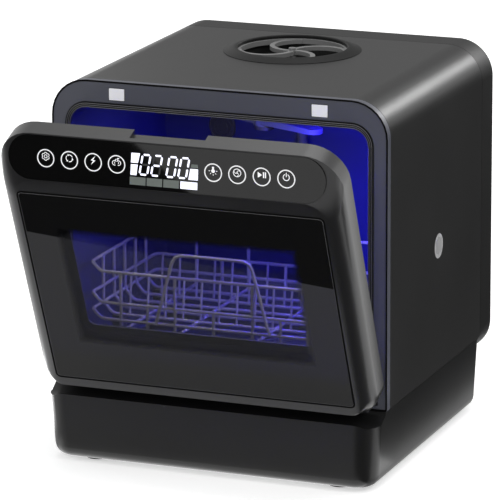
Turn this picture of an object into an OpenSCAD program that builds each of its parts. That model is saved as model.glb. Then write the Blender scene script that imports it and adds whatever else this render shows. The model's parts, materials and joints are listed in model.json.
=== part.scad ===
// Countertop dishwasher. Millimetres, +Z up, front towards -Y, standing on Z = 0.
// The door is drawn ajar at door_angle, and everything on it is drawn in the door's own axes:
// X across, -Y out of the front face, Z up the door, with the hinge axis at the origin.

/* [Cabinet] */
// Width of the cabinet
cab_w = 420; // [400:1:440]
// Height of the cabinet above the base
cab_h = 367; // [355:1:380]
// Depth of the wrap, front face to rear cover
cab_d = 343; // [335:1:360]
// Depth of the rear cover
rear_d = 41; // [36:1:50]
// Corner radius of the cabinet and of the door
corner_r = 44; // [34:1:50]
// Sheet thickness of the wrap
wrap_t = 2.5; // [1.5:0.5:3]
// Width of the front frame at the sides
frame_w = 17; // [14:1:20]
// Height of the front frame above the opening
frame_top = 26; // [22:1:30]
// Thickness of the front frame
frame_t = 12; // [9:1:14]
// How far the rear cover hangs below the cabinet
rear_drop = 28; // [18:1:34]

/* [Base] */
// Height of the base
base_h = 88; // [84:1:96]
// How far the base stands out in front of the cabinet
base_out = 44; // [40:1:50]
// Inward slope of the base walls, in degrees
base_draft = 3.3; // [1:0.1:4]
// Plan radius of the base's front corners
base_r = 28; // [20:1:40]
// Radius along the bottom edge of the base
base_edge_r = 14; // [8:1:16]
// Wall of the base
base_t = 3; // [2:0.5:4]
// Depth of the scoop that the door swings through
scoop_z = 12; // [10:0.5:16]
// Height of the rubber feet that shows
foot_h = 4; // [3:0.5:8]
// Diameter of a foot
foot_d = 30; // [20:1:36]

/* [Door] */
// How far the door stands open as drawn, in degrees
door_angle = 22.5; // [5:0.5:60]
// Height of the door from its bottom edge to its top edge
door_h = 359.8; // [350:0.1:375]
// Thickness of the door
door_t = 43.2; // [38:0.2:46]
// Distance of the hinge axis behind the door's front face
hinge_in = 18.2; // [14:0.2:22]
// Height of the hinge axis above the cabinet's bottom edge
hinge_up = 13; // [12:0.5:18]
// Height of the hinge axis above the door's bottom edge
hinge_h = 9.5; // [8:0.5:12]
// Wall of the door's outer shell
door_wall = 3; // [2:0.5:4]
// Radius of the door's side edges
door_edge_r = 22; // [12:1:24]
// Height of the sloping band that carries the controls
band_h = 53; // [46:1:60]
// How far the top of that band leans back
band_lean = 20; // [10:1:22]
// Width of the shell's face beside the glass
glass_side = 22.5; // [20:0.5:40]
// Height of the glass
glass_h = 268; // [230:1:272]
// Height of the glass's bottom edge above the hinge axis
glass_up = 11.5; // [10:0.5:20]
// Thickness of the glass
glass_t = 4; // [3:0.5:5]
// Width of the printed border beside the clear window
border_w = 37.5; // [27.5:0.5:57.5]
// Height of the clear window
window_h = 167; // [140:1:180]
// Height of the window's bottom edge above the hinge axis
window_up = 66; // [60:1:80]
// Distance of the control strip's ends from the door's sides
strip_side = 16; // [14:1:40]
// Height of the control strip
strip_h = 53; // [40:1:54]
// Width of the finger notch in the door's top edge
notch_w = 90; // [70:1:110]
// Diameter of the hinge pins
pin_d = 8; // [6:0.5:8]
// Radial running clearance of the hinge pins and of the turning shafts
run_fit = 0.06; // [0.02:0.01:0.1]

/* [Tub and basket] */
// Wall of the tub
tub_t = 2.5; // [2:0.5:3]
// Space behind the tub, up to the rear cover, for the tank and the fan's duct
tub_back = 53; // [51:1:63]
// Height of the tub floor above the cabinet's bottom edge
tub_floor = 8; // [6:1:10]
// Thickness of the wires
wire_d = 4; // [3:0.5:5]
// Gap between the basket and the tub's side walls
basket_gap = 14.5; // [12.5:0.5:26.5]
// Depth of the basket
basket_d = 235; // [200:1:240]
// Where the basket's front stands as drawn, in front of the cabinet's front face
basket_out = 16; // [12:1:18]
// Heights of the basket's floor, bottom, middle and top rails above the cabinet's bottom edge
rail_z = [69, 83, 103, 141];
// How far the basket slides for each radian of the door
basket_ratio = 80; // [60:1:82]
// Length of the lower spray arm
lower_arm_l = 250; // [200:1:260]
// Length of the upper spray arm
upper_arm_l = 190; // [150:1:240]

/* [Top inlet] */
// Outer diameter of the inlet collar
inlet_d = 168; // [140:1:172]
// Inner diameter of the inlet collar
mouth_d = 134; // [110:1:136]
// Height of the collar above the cabinet
collar_h = 5; // [3:0.5:8]
// Distance of the inlet's centre in front of the rear cover
inlet_back = 99; // [93:1:107]

/* [Hidden] */
$fn = 64;
seam_z = foot_h + base_h;
cab_top = seam_z + cab_h;
hinge_y = -(base_out + 1.2) + hinge_in;
hinge_z = seam_z + hinge_up;
door_top = door_h - hinge_h;
door_back = door_t - hinge_in;
glass_w = cab_w - 2 * glass_side;
window_w = glass_w - 2 * border_w;
strip_l = cab_w - 2 * strip_side;
glass_gap = 0.4;
skin_gap = 0.4;
band_low = door_top - band_h;
band_tilt = atan(band_lean / band_h);
band_run = norm([band_h, band_lean]);
open_x = cab_w / 2 - frame_w;
open_top = cab_h - frame_top;
open_low = 34;
open_r = corner_r - frame_w;
gasket_t = 4.5;
tub_x = open_x - gasket_t - 2;
tub_top = open_top - gasket_t - 2;
tub_d = cab_d - tub_back;
basket_w = 2 * (tub_x - basket_gap);
inlet_y = cab_d - inlet_back;
rear_y = cab_d + rear_d;
port_out = 16;
// The part's origin lies under the middle of its bounding box, so the door's reach sets the shift
front_reach = max([for (p = [[door_top - 2, 2 - band_lean + hinge_in], [band_low, hinge_in]])
    p[0] * sin(door_angle) + p[1] * cos(door_angle)]);
front_y = hinge_y - front_reach;
back_y = rear_y + port_out;
y_shift = -(front_y + back_y) / 2;

// Moves the cabinet's axes, whose Y starts at its front face, to the part's own origin
module place() translate([0, y_shift, 0]) children();

// Moves the door's own axes to the hinge, turned to the angle that the door stands open
module on_door() place() translate([0, hinge_y, hinge_z]) rotate([door_angle, 0, 0]) children();

// Moves a piece drawn on a flat plane at the origin to the middle of the sloping control band
module on_band()
    translate([0, -hinge_in + band_lean / 2, door_top - band_h / 2]) rotate([-band_tilt, 0, 0]) children();

// A flat rectangle with round corners, whose top and bottom radii differ
module plate(x0, x1, z0, z1, top_r, low_r) {
    union() {
        translate([x0 + top_r, z0 + low_r]) square([x1 - x0 - 2 * top_r, z1 - z0 - low_r]);
        translate([x0 + low_r, z0]) square([x1 - x0 - 2 * low_r, z1 - z0 - top_r]);
        translate([x0, z0 + low_r]) square([x1 - x0, z1 - z0 - low_r - top_r]);
        for (x = [x0 + top_r, x1 - top_r]) translate([x, z1 - top_r]) circle(top_r);
        for (x = [x0 + low_r, x1 - low_r]) translate([x, z0 + low_r]) circle(low_r);
    }
}

// A flat shape drawn in X and Z, made solid from y0 back to y1
module deep(y0, y1) translate([0, y1, 0]) rotate([90, 0, 0]) linear_extrude(y1 - y0) children();

// Round bars along X and along Y, by their two ends
module bar_x(x0, x1, y, z, d) translate([x0, y, z]) rotate([0, 90, 0]) cylinder(h = x1 - x0, d = d);
module bar_y(x, y0, y1, z, d) translate([x, y0, z]) rotate([-90, 0, 0]) cylinder(h = y1 - y0, d = d);
module box(x0, x1, y0, y1, z0, z1) translate([x0, y0, z0]) cube([x1 - x0, y1 - y0, z1 - z0]);

function unit(v) = v / norm(v);
// The ring's points slid along dir onto the plane through p that is square to t
function slide(ring, dir, p, t) = [for (q = ring) q + dir * ((p - q) * t) / (dir * t)];
function sweep_rings(path, ring, k = 1) = k == len(path) ? [] : let(
    dir = unit(path[k] - path[k - 1]),
    t = k < len(path) - 1 ? unit(dir + unit(path[k + 1] - path[k])) : dir,
    next = slide(ring, dir, path[k], t)
) [next, each sweep_rings(path, next, k + 1)];
// A path whose inner corners are rounded off over the length r on both sides
function soften(path, r, n = 3) = [path[0], each [for (k = [1:len(path) - 2]) each let(
    before = path[k - 1] - path[k],
    after = path[k + 1] - path[k],
    a = path[k] + unit(before) * min(r, norm(before) * 0.45),
    b = path[k] + unit(after) * min(r, norm(after) * 0.45)
) [for (i = [0:n]) (1 - i / n) ^ 2 * a + 2 * i / n * (1 - i / n) * path[k] + (i / n) ^ 2 * b]],
    path[len(path) - 1]];

// A round wire or hose through a list of points, mitred where it turns
module wire(path, d, sides = 8) {
    dir = unit(path[1] - path[0]);
    across = unit(cross(dir, abs(dir[2]) > 0.7 ? [1, 0, 0] : [0, 0, 1]));
    other = cross(dir, across);
    first = [for (i = [0:sides - 1], turn = 360 * i / sides)
        path[0] + d / 2 * (across * cos(turn) - other * sin(turn))];
    loft([first, each sweep_rings(path, first)]);
}

// A solid skinned over rings of points, closed at both ends
module loft(rings) {
    n = len(rings[0]);
    polyhedron(
        points = [for (ring = rings) each ring],
        faces = concat(
            [[for (i = [n - 1:-1:0]) i]],
            [for (k = [0:len(rings) - 2]) for (i = [0:n - 1]) each [
                [k * n + i, k * n + (i + 1) % n, (k + 1) * n + i],
                [k * n + (i + 1) % n, (k + 1) * n + (i + 1) % n, (k + 1) * n + i]
            ]],
            [[for (i = [0:n - 1]) (len(rings) - 1) * n + i]]
        )
    );
}

// Points of a round-cornered rectangle, counter-clockwise, as [u, v] pairs
function ring_points(u0, u1, v0, v1, top_r, low_r, steps = 8) = [
    for (c = [[u1 - top_r, v1 - top_r, top_r, 0], [u0 + top_r, v1 - top_r, top_r, 90],
              [u0 + low_r, v0 + low_r, low_r, 180], [u1 - low_r, v0 + low_r, low_r, 270]])
    for (i = [0:steps])
    [c[0] + c[2] * cos(c[3] + 90 * i / steps), c[1] + c[2] * sin(c[3] + 90 * i / steps)]
];

// Cabinet

module cabinet_outline(inset = 0, drop = 0)
    plate(-cab_w / 2 + inset, cab_w / 2 - inset, seam_z - drop, cab_top - inset, corner_r - inset, 0.01);

// Sheet wrap over the top and both sides, open at the front, the back and below
module wrap() color([0.17, 0.17, 0.18]) place() difference() {
    deep(frame_t, cab_d) cabinet_outline();
    deep(frame_t - 1, cab_d + 1) cabinet_outline(wrap_t, 1);
    translate([0, inlet_y, cab_top - 20]) cylinder(h = 40, d = mouth_d + 8);
    bar_x(cab_w / 2 - 20, cab_w / 2 + 20, vent_y, vent_z, vent_d + 0.4);
}

// Moulded frame round the opening, which the tub's flange and the door's seal seat on
module front_frame() color([0.27, 0.28, 0.32]) place() difference() {
    union() {
        deep(0, frame_t) cabinet_outline();
        deep(frame_t, frame_t + 10) cabinet_outline(wrap_t + 0.3);
    }
    deep(-1, frame_t + 11)
        plate(-open_x, open_x, seam_z + open_low, seam_z + open_top, open_r, 12);
    deep(frame_t, frame_t + 11)
        plate(-open_x - 8, open_x + 8, seam_z - 2, cab_top - 12, open_r, 0.01);
    for (x = [-strike_x, strike_x]) box(x - 10, x + 10, -1, 1.2, strike_z - 7.5, strike_z + 7.5);
    both_sides() box(hinge_x - slot_x, hinge_x + slot_x, -1, frame_t + 1, hinge_z - 7, hinge_z + 7);
}

strike_x = cab_w / 2 - 83;
strike_z = seam_z + 352;
vent_y = 184;
vent_z = seam_z + 155;
vent_d = 30;

// Two bright plates that the door's magnets hold to
module strike_plates() color([0.85, 0.85, 0.88]) place()
    for (x = [-strike_x, strike_x]) box(x - 9.6, x + 9.6, -0.4, 1.2, strike_z - 7.1, strike_z + 7.1);

// Rear cover, a deep shell with round lower corners that hangs below the cabinet's bottom edge
module rear_outline(inset = 0)
    plate(-cab_w / 2 + inset, cab_w / 2 - inset, seam_z - rear_drop + inset, cab_top - inset,
        corner_r - inset, 40 - inset);

module rear_cover() color([0.13, 0.13, 0.13]) place() difference() {
    deep(cab_d, rear_y) rear_outline();
    deep(cab_d - 1, rear_y - 3) rear_outline(3);
    // louvres in front of the drying fan
    for (i = [0:8]) translate([-110, rear_y - 5, seam_z + 210 + 11 * i])
        deep(0, 10) plate(-38, 38, -2.2, 2.2, 2.19, 2.19);
    bar_y(port_x[0], rear_y - 5, rear_y + 5, port_z, 23);
    bar_y(port_x[1], rear_y - 5, rear_y + 5, port_z, 29);
    box(power_x - 14.5, power_x + 14.5, rear_y - 5, rear_y + 5, port_z - 10.5, port_z + 10.5);
    for (p = rear_screw_at) bar_y(p[0], rear_y - 4, rear_y + 1, p[1], 4.4);
}

port_x = [60 - cab_w / 2, 110 - cab_w / 2];
port_z = seam_z + 40;
power_x = cab_w / 2 - 80;
rear_screw_at = [for (s = [-1, 1]) for (z = [seam_z + 60, seam_z + 190, cab_top - 60])
    [s * (cab_w / 2 - 40), z]];

// Six screws that hold the rear cover, with a pan head and a shank
module rear_screws() color("silver") place() for (p = rear_screw_at) {
    bar_y(p[0], rear_y - 12, rear_y, p[1], 3.6);
    bar_y(p[0], rear_y, rear_y + 2.2, p[1], 8);
}

// Base: tapered walls with a rounded bottom edge that turns in to a lip, open on top

function slope_in(z) = (seam_z - z) * tan(base_draft);
function base_ring(z, inset, edge_in) = let(in = slope_in(z) + inset + edge_in, back_in = max(inset, 0) + edge_in)
    [for (p = ring_points(-cab_w / 2 + in, cab_w / 2 - in, -cab_d + back_in, base_out - in,
        max(base_r - inset - edge_in, 4), max(12 - edge_in, 2))) [p[0], -p[1], z]];
// Rings of the rounded bottom edge, from its underside up to where the wall starts
function edge_rings(z, r, inset) =
    [for (i = [0:edge_steps]) base_ring(z + r * (1 - cos(90 * i / edge_steps)), inset,
        r * (1 - sin(90 * i / edge_steps)))];

edge_steps = 5;
lip_in = base_edge_r + 4;
// Outline of the scoop, as distance behind the cabinet's front face and height above its bottom edge
scoop_line = [[-base_out - 20, -scoop_z / 2], [-base_out - 1, -scoop_z / 2], [-base_out + 6, -scoop_z],
    [-base_out + 28, -scoop_z], [-3, -4]];
deck_t = 2.5;
module across_base(profile) translate([-cab_w, 0, seam_z]) rotate([90, 0, 90])
    linear_extrude(2 * cab_w) polygon(profile);

module base_shell() color([0.14, 0.14, 0.14]) place() difference() {
    loft([each edge_rings(foot_h, base_edge_r, 0), base_ring(seam_z, 0, 0)]);
    difference() {
        loft([base_ring(foot_h - 1, 0, lip_in), base_ring(foot_h + base_t, 0, lip_in),
            each edge_rings(foot_h + base_t + 0.01, base_edge_r - base_t, base_t),
            base_ring(seam_z + 1, base_t, 0)]);
        across_base([each [for (p = scoop_line) p - [0, deck_t]], [2, -4 - deck_t], [2, 2], [-base_out - 20, 2]]);
    }
    across_base([each scoop_line, [-3, 1], [-base_out - 20, 1]]);
}

// Steel tray that closes the base from inside and carries the pumps
tray_z = foot_h + base_t + 0.02;
tray_t = 2;
module tray_plan(in) plate(-cab_w / 2 + in, cab_w / 2 - in, -base_out + in, cab_d - in, 14, 14);
foot_at = [for (s = [-1, 1]) for (y = [39 - base_out, cab_d - 43]) [s * (cab_w / 2 - 55), y]];
module base_tray() color("silver") place() translate([0, 0, tray_z]) linear_extrude(tray_t) difference() {
    tray_plan(lip_in + 1.3);
    for (p = foot_at) translate(p) circle(4.2);
}

// Four rubber feet, each with a stem pulled through the tray
module rubber_feet() color([0.1, 0.1, 0.1]) place() for (p = foot_at) translate(p) {
    cylinder(h = tray_z, d = foot_d);
    cylinder(h = tray_z + tray_t, d = 8);
    translate([0, 0, tray_z + tray_t]) cylinder(h = 3, d = 11);
}

// Eight screws that hold the tray to the base's lip
base_screw_at = [for (s = [-1, 1]) for (i = [0:3]) [s * (cab_w / 2 - 26), 40 + i * (cab_d - 103) / 3]];
module base_screws() color("silver") place() for (p = base_screw_at) translate([p[0], p[1], tray_z + tray_t])
    cylinder(h = 2, d = 7);

// Tub

sump_y = tub_d / 2 + 5;
mouth_low = open_low + 6.5;
mouth_r = open_r - 6.5;
tub_out_x = tub_x + tub_t;
riser_y = tub_d - 11;
riser_d = 14;
riser_z = seam_z + tub_top - 12;
lamp_y = 36;
lamp_x = 92;
fan_x = -110;
fan_z = seam_z + 254;
duct_d = 44;

module tub() color([0.42, 0.44, 0.5]) place() difference() {
    union() {
        deep(2, frame_t) plate(-tub_out_x, tub_out_x, seam_z + mouth_low - tub_t, seam_z + tub_top + tub_t,
            mouth_r + tub_t, 10);
        deep(frame_t, frame_t + tub_t)
            plate(-open_x - 7, open_x + 7, seam_z + 2, seam_z + open_top + 7, open_r, 4);
        deep(frame_t, tub_d) plate(-tub_out_x, tub_out_x, seam_z + tub_floor - tub_t, seam_z + tub_top + tub_t,
            mouth_r + tub_t, 18);
    }
    deep(1, frame_t + tub_t + 1) plate(-tub_x, tub_x, seam_z + mouth_low, seam_z + tub_top, mouth_r, 8);
    deep(frame_t + tub_t, tub_d - tub_t)
        plate(-tub_x, tub_x, seam_z + tub_floor, seam_z + tub_top, mouth_r, 16);
    translate([0, sump_y, seam_z]) cylinder(h = 30, d = 105, center = true);
    translate([0, riser_y, seam_z]) cylinder(h = 30, d = riser_d + 0.8, center = true);
    box(-lamp_x, lamp_x, lamp_y - 9, lamp_y + 9, seam_z + tub_top - 1, seam_z + tub_top + 10);
    bar_y(fan_x, tub_d - 10, tub_d + 5, fan_z, duct_d - 8);
    both_sides() box(hinge_x - slot_x, hinge_x + slot_x, frame_t - 1, frame_t + tub_t + 0.1,
        hinge_z - 7, hinge_z + 7);
}

// Rubber seal between the frame and the mouth of the tub, standing a little proud of the frame
module door_gasket() color([0.05, 0.05, 0.06]) place() difference() {
    deep(-1.2, frame_t - 0.2) plate(-open_x + 0.2, open_x - 0.2, seam_z + open_low + 0.2, seam_z + open_top - 0.2,
        open_r - 0.2, 11.8);
    deep(-2, frame_t + 1) plate(-tub_out_x - 0.2, tub_out_x + 0.2, seam_z + mouth_low - tub_t - 0.2,
        seam_z + tub_top + tub_t + 0.2, mouth_r + tub_t + 0.2, 10);
}

// Two ledges on the tub's side walls that the basket slides on
runner_z = seam_z + mouth_low + 0.7;
runner_in = basket_w / 2 - 24;
module basket_runners() color([0.36, 0.38, 0.43]) place() for (s = [-1, 1])
    box(min(s * runner_in, s * (tub_x - 0.1)), max(s * runner_in, s * (tub_x - 0.1)), frame_t + tub_t + 1,
        tub_d - tub_t - 1, runner_z - 6, runner_z);

// Lamp in the tub's ceiling: a clear lens in its slot, and the board with its lamps on top
module lamp_lens() color([0.3, 0.35, 1]) place() {
    box(-lamp_x + 0.3, lamp_x - 0.3, lamp_y - 8.7, lamp_y + 8.7, seam_z + tub_top - 2, seam_z + tub_top + tub_t);
}
module lamp_board() color([0.1, 0.35, 0.2]) place() {
    box(-lamp_x, lamp_x, lamp_y - 12, lamp_y + 12, seam_z + tub_top + tub_t, seam_z + tub_top + tub_t + 1.6);
    for (i = [-4:4]) box(i * 20 - 2.5, i * 20 + 2.5, lamp_y - 2.5, lamp_y + 2.5, seam_z + tub_top + tub_t + 1.6,
        seam_z + tub_top + tub_t + 3);
}

// Sump, filter and spray arms

post_d = 16;
sump_low = seam_z - 62;
floor_z = seam_z + tub_floor;
module at_sump() place() translate([0, sump_y, 0]) children();

// Cup under the tub floor with a flange on the floor, and the hollow post that the lower arm turns on
module sump() color([0.3, 0.3, 0.32]) at_sump() difference() {
    union() {
        translate([0, 0, sump_low]) cylinder(h = floor_z - sump_low, d = 104);
        translate([0, 0, floor_z]) cylinder(h = 2, d = 124);
        bar_x(50, 73, 0, pump_z, 24);
        bar_x(-73, -50, 0, drain_z, 18);
        translate([0, 0, sump_low]) cylinder(h = floor_z + 24 - sump_low, d = post_d);
        bar_y(-supply_x, 30, supply_l, supply_z, 11);
    }
    difference() {
        translate([0, 0, sump_low + 3]) cylinder(h = 100, d = 98);
        cylinder(h = floor_z + 24, d = post_d);
    }
    cylinder(h = 300, d = post_d - 5);
    bar_x(30, 80, 0, pump_z, 19);
    bar_x(-80, -30, 0, drain_z, 13);
    bar_y(-supply_x, 20, supply_l + 1, supply_z, 7);
}
supply_x = 34;
supply_z = 76;
supply_l = 62;

// Ring that clamps the sump to the floor from below
module sump_clamp_ring() color([0.2, 0.2, 0.2]) at_sump() translate([0, 0, floor_z - tub_t - 4]) difference() {
    cylinder(h = 4, d = 124);
    translate([0, 0, -1]) cylinder(h = 6, d = 104.4);
}

module filter_cup() color([0.35, 0.36, 0.38]) at_sump() difference() {
    union() {
        translate([0, 0, floor_z + 2]) cylinder(h = 2, d = 100);
        translate([0, 0, floor_z - 34]) cylinder(h = 36, d = 80);
    }
    difference() {
        translate([0, 0, floor_z - 32]) cylinder(h = 40, d = 76);
        translate([0, 0, floor_z - 32]) cylinder(h = 36, d = 21);
    }
    translate([0, 0, floor_z - 40]) cylinder(h = 60, d = post_d + 1);
}

// Perforated steel plate on the sump's flange
module filter_plate() color([0.75, 0.76, 0.78]) at_sump() translate([0, 0, floor_z + 2]) difference() {
    cylinder(h = 1.2, d = 150);
    translate([0, 0, -1]) cylinder(h = 4, d = 101);
    for (a = [0:15:345]) rotate(a) translate([56.5, 0, -1]) cylinder(h = 4, d = 5);
    for (a = [7.5:15:352.5]) rotate(a) translate([67, 0, -1]) cylinder(h = 4, d = 5);
}

// A hollow spray arm: a hub and two blunt wings, with its nozzle holes
module spray_arm(length, hub_h, bore_d, side) difference() {
    union() {
        cylinder(h = hub_h, d = bore_d + 12);
        for (a = [0, 180]) rotate(a) hull() {
            translate([0, 0, 2]) cylinder(h = hub_h - 5, d = bore_d + 9, $fn = 32);
            translate([length / 2 - 11, 0, 3]) cylinder(h = hub_h - 8, d = 22, $fn = 32);
        }
    }
    translate([0, 0, -1]) cylinder(h = hub_h + 2, d = bore_d);
    for (a = [0, 180]) rotate(a) for (i = [1:4])
        translate([length / 2 * (0.25 + 0.17 * i), i % 2 * 6 - 3, side > 0 ? hub_h - 6 : -1]) cylinder(h = 7, d = 3);
}
lower_arm_z = floor_z + 6;
lower_hub_h = 16;
module lower_spray_arm() color([0.45, 0.46, 0.5]) at_sump() translate([0, 0, lower_arm_z]) rotate(35)
    spray_arm(lower_arm_l, lower_hub_h, post_d + 2 * run_fit, 1);

upper_arm_z = riser_z - 28;
module upper_spray_arm() color([0.45, 0.46, 0.5]) at_sump() translate([0, 0, upper_arm_z]) rotate(-25)
    spray_arm(upper_arm_l, 14, riser_d + 2 * run_fit, -1);
module upper_arm_nut() color([0.3, 0.3, 0.32]) at_sump() translate([0, 0, upper_arm_z - 5]) difference() {
    cylinder(h = 4.7, d = 24);
    translate([0, 0, 2]) cylinder(h = 4, d = riser_d);
}

// Pipe from the heater up the tub's back wall and along its ceiling, ending in the upper arm's spigot
riser_x = 20;
module riser_pipe() color([0.4, 0.41, 0.45]) place() union() {
    wire(soften([[riser_x, heater_y, riser_start], [riser_x, heater_y, riser_start + 9], [0, riser_y, riser_start + 9],
        [0, riser_y, riser_z], [0, sump_y - 4, riser_z]], 12), riser_d - 1, 12);
    translate([0, sump_y, upper_arm_z - 3]) cylinder(h = riser_z - upper_arm_z + 3 + riser_d / 2, d = riser_d);
}

// Pumps, heater and hoses in the base

pump_z = 48;
drain_z = 44;
heater_y = sump_y + 82;
heater_d = 36;
heater_end = 94;
riser_start = pump_z + heater_d / 2 + 6;
rotor_shaft_d = 6;

// A centrifugal pump lying along X: a volute with its inlet, and a motor with a bore for the shaft
module pump(volute_d, volute_t, motor_d, motor_l) difference() {
    union() {
        bar_x(0, volute_t, 0, 0, volute_d);
        bar_x(volute_t, volute_t + motor_l, 0, 0, motor_d);
        bar_y(volute_t / 2, 0, volute_d / 2 + 12, volute_d / 4, 16);
    }
    bar_x(3, volute_t - 3, 0, 0, volute_d - 8);
    bar_x(-1, 4, 0, 0, 19);
    bar_x(volute_t - 4, volute_t + motor_l - 6, 0, 0, rotor_shaft_d + 2 * run_fit);
    bar_y(volute_t / 2, volute_d / 4, volute_d / 2 + 13, volute_d / 4, 11);
}

// The turning part of a pump: a disc with curved blades on its shaft
module rotor(disc_d, blade_h, shaft_l, blades) {
    bar_x(0, 3, 0, 0, disc_d);
    bar_x(0, shaft_l, 0, 0, rotor_shaft_d);
    for (i = [0:blades - 1]) rotate([10 + i * 360 / blades, 0, 0]) box(-blade_h, 1, -1, 1, 4, disc_d / 2 - 2);
    bar_x(-blade_h - 1, 1, 0, 0, 10);
}

wash_d = 74;
wash_t = 32;
wash_x = 73;
module wash_pump() color([0.25, 0.25, 0.27]) at_sump() translate([wash_x, 0, pump_z])
    pump(wash_d, wash_t, 60, 66);
module wash_rotor() color([0.8, 0.8, 0.78]) at_sump() translate([wash_x + 22, 0, pump_z]) rotor(56, 12, 50, 6);

drain_d = 50;
drain_t = 26;
module drain_pump() color([0.25, 0.25, 0.27]) at_sump() translate([-73, 0, drain_z]) mirror([1, 0, 0])
    pump(drain_d, drain_t, 44, 48);
module drain_rotor() color([0.8, 0.8, 0.78]) at_sump() translate([-73 - 17, 0, drain_z]) mirror([1, 0, 0])
    rotor(34, 8, 34, 5);

// Tube heater between the wash pump and the spray arms, held to the tray by two saddles
module flow_heater() color("silver") place() {
    bar_x(-20, 80, heater_y, pump_z, heater_d);
    bar_x(-34, -19, heater_y, pump_z, 13);
    bar_x(79, heater_end, heater_y, pump_z, 13);
    translate([riser_x, heater_y, pump_z]) cylinder(h = riser_start - pump_z, d = 14);
    for (x = [0, 64]) box(x - 4, x + 4, heater_y - 14, heater_y + 14, tray_z + tray_t, pump_z - 10);
}

// Hoses from the wash pump to the heater and from the heater to the sump's post
module wash_hose() color([0.12, 0.12, 0.12]) place() {
    pump_out = [wash_x + wash_t / 2, sump_y + wash_d / 2 + 12, pump_z + wash_d / 4];
    wire(soften([pump_out, pump_out + [0, 16, 0], [122, heater_y, pump_z + 8], [122, heater_y, pump_z],
        [heater_end, heater_y, pump_z]], 8), 12, 10);
    wire(soften([[-34, heater_y, pump_z], [-50, heater_y, pump_z], [-50, heater_y - 24, 20], [0, sump_y, 20],
        [0, sump_y, sump_low]], 9), 12, 10);
}

// Drain hose from the drain pump up to the port at the back
hose_y = cab_d - 23;
module drain_hose() color([0.12, 0.12, 0.12]) place() {
    pump_out = [-73 - drain_t / 2, sump_y + drain_d / 2 + 12, drain_z + drain_d / 4];
    wire(soften([pump_out, pump_out + [0, 30, 0], [port_x[0], hose_y, 60], [port_x[0], hose_y, port_z],
        [port_x[0], rear_y - 20, port_z]], 14), 14, 10);
}
module drain_port() color([0.2, 0.2, 0.2]) place() difference() {
    union() {
        bar_y(port_x[0], rear_y - 20, rear_y, port_z, 22.6);
        bar_y(port_x[0], rear_y - 1, rear_y + port_out, port_z, 22);
        bar_y(port_x[0], rear_y - 6, rear_y - 3, port_z, 30);
    }
    bar_y(port_x[0], rear_y - 21 + 8, rear_y + port_out + 1, port_z, 16);
}

// Fill valve whose threaded spigot comes out beside the drain port
module fill_valve() color([0.85, 0.85, 0.82]) place() difference() {
    union() {
        box(port_x[1] - 19, port_x[1] + 19, rear_y - 40, rear_y - 3, port_z - 16, port_z + 34);
        bar_y(port_x[1], rear_y - 6, rear_y, port_z, 28);
        bar_y(port_x[1], rear_y - 1, rear_y + 14, port_z, 26.4);
    }
    bar_y(port_x[1], rear_y - 20, rear_y + 15, port_z, 18);
}

module power_inlet() color([0.08, 0.08, 0.08]) place() difference() {
    union() {
        box(power_x - 14, power_x + 14, rear_y - 22, rear_y, port_z - 10, port_z + 10);
        box(power_x - 20, power_x + 20, rear_y, rear_y + 2.5, port_z - 13, port_z + 13);
    }
    box(power_x - 12, power_x + 12, rear_y - 18, rear_y + 3, port_z - 8, port_z + 8);
}

// Water supply: funnel, tank and hose

funnel_d = 150;
funnel_low = cab_top - 24;
spout_y = inlet_y + 60;
tank_y0 = tub_d + 2;
tank_y1 = cab_d - 4;
tank_x = cab_w / 2 - 32;
tank_z0 = seam_z + 66;
tank_z1 = funnel_low - 4;

// Collar round the filling mouth: a low ring with a sloping flank and a lip down into the wrap
module inlet_collar() color([0.22, 0.22, 0.22]) place() translate([0, inlet_y, cab_top]) rotate_extrude()
    polygon([[mouth_d / 2, -7], [mouth_d / 2, collar_h - 1], [mouth_d / 2 + 1, collar_h],
        [mouth_d / 2 + 4, collar_h], [inlet_d / 2 - 3, 1.6], [inlet_d / 2, 0.6], [inlet_d / 2, 0],
        [mouth_d / 2 + 3.8, 0], [mouth_d / 2 + 3.8, -7]]);

// Guard in the mouth: a rim, a raised hub and four swirling spokes
hub_up = 3;
module spoke_plan(w) intersection() {
    circle(mouth_d / 2 - 1);
    translate([mouth_d / 4 - 2, -mouth_d / 16]) difference() {
        circle(mouth_d / 4 + w / 2);
        circle(mouth_d / 4 - w / 2);
        translate([-mouth_d, -mouth_d * 2]) square(mouth_d * 2 * [1, 1] - [0, mouth_d * 0.02]);
    }
}
module inlet_guard() color([0.26, 0.26, 0.26]) place() translate([0, inlet_y, cab_top - 5]) union() {
    difference() {
        cylinder(h = 6, d = mouth_d - 0.6);
        translate([0, 0, -1]) cylinder(h = 9, d = mouth_d - 7);
    }
    for (a = [0:90:270]) rotate(a + 20) linear_extrude(5) spoke_plan(6);
    translate([0, 0, -funnel_post]) cylinder(h = funnel_post + 5 + hub_up, d = 9);
}
funnel_post = cab_top - 5 - funnel_low - 2.3;

// Shallow funnel under the mouth, with a spout at the back that drops into the tank's neck
module inlet_funnel() color([0.12, 0.12, 0.12]) place() difference() {
    union() {
        translate([0, inlet_y, funnel_low]) cylinder(h = cab_top - wrap_t - funnel_low, d = funnel_d);
        translate([0, spout_y, funnel_low - 16]) cylinder(h = 18, d = 16);
    }
    translate([0, inlet_y, funnel_low + 2]) cylinder(h = 40, d = funnel_d - 5);
    translate([0, spout_y, funnel_low - 20]) cylinder(h = 40, d = 12);
}

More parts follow.
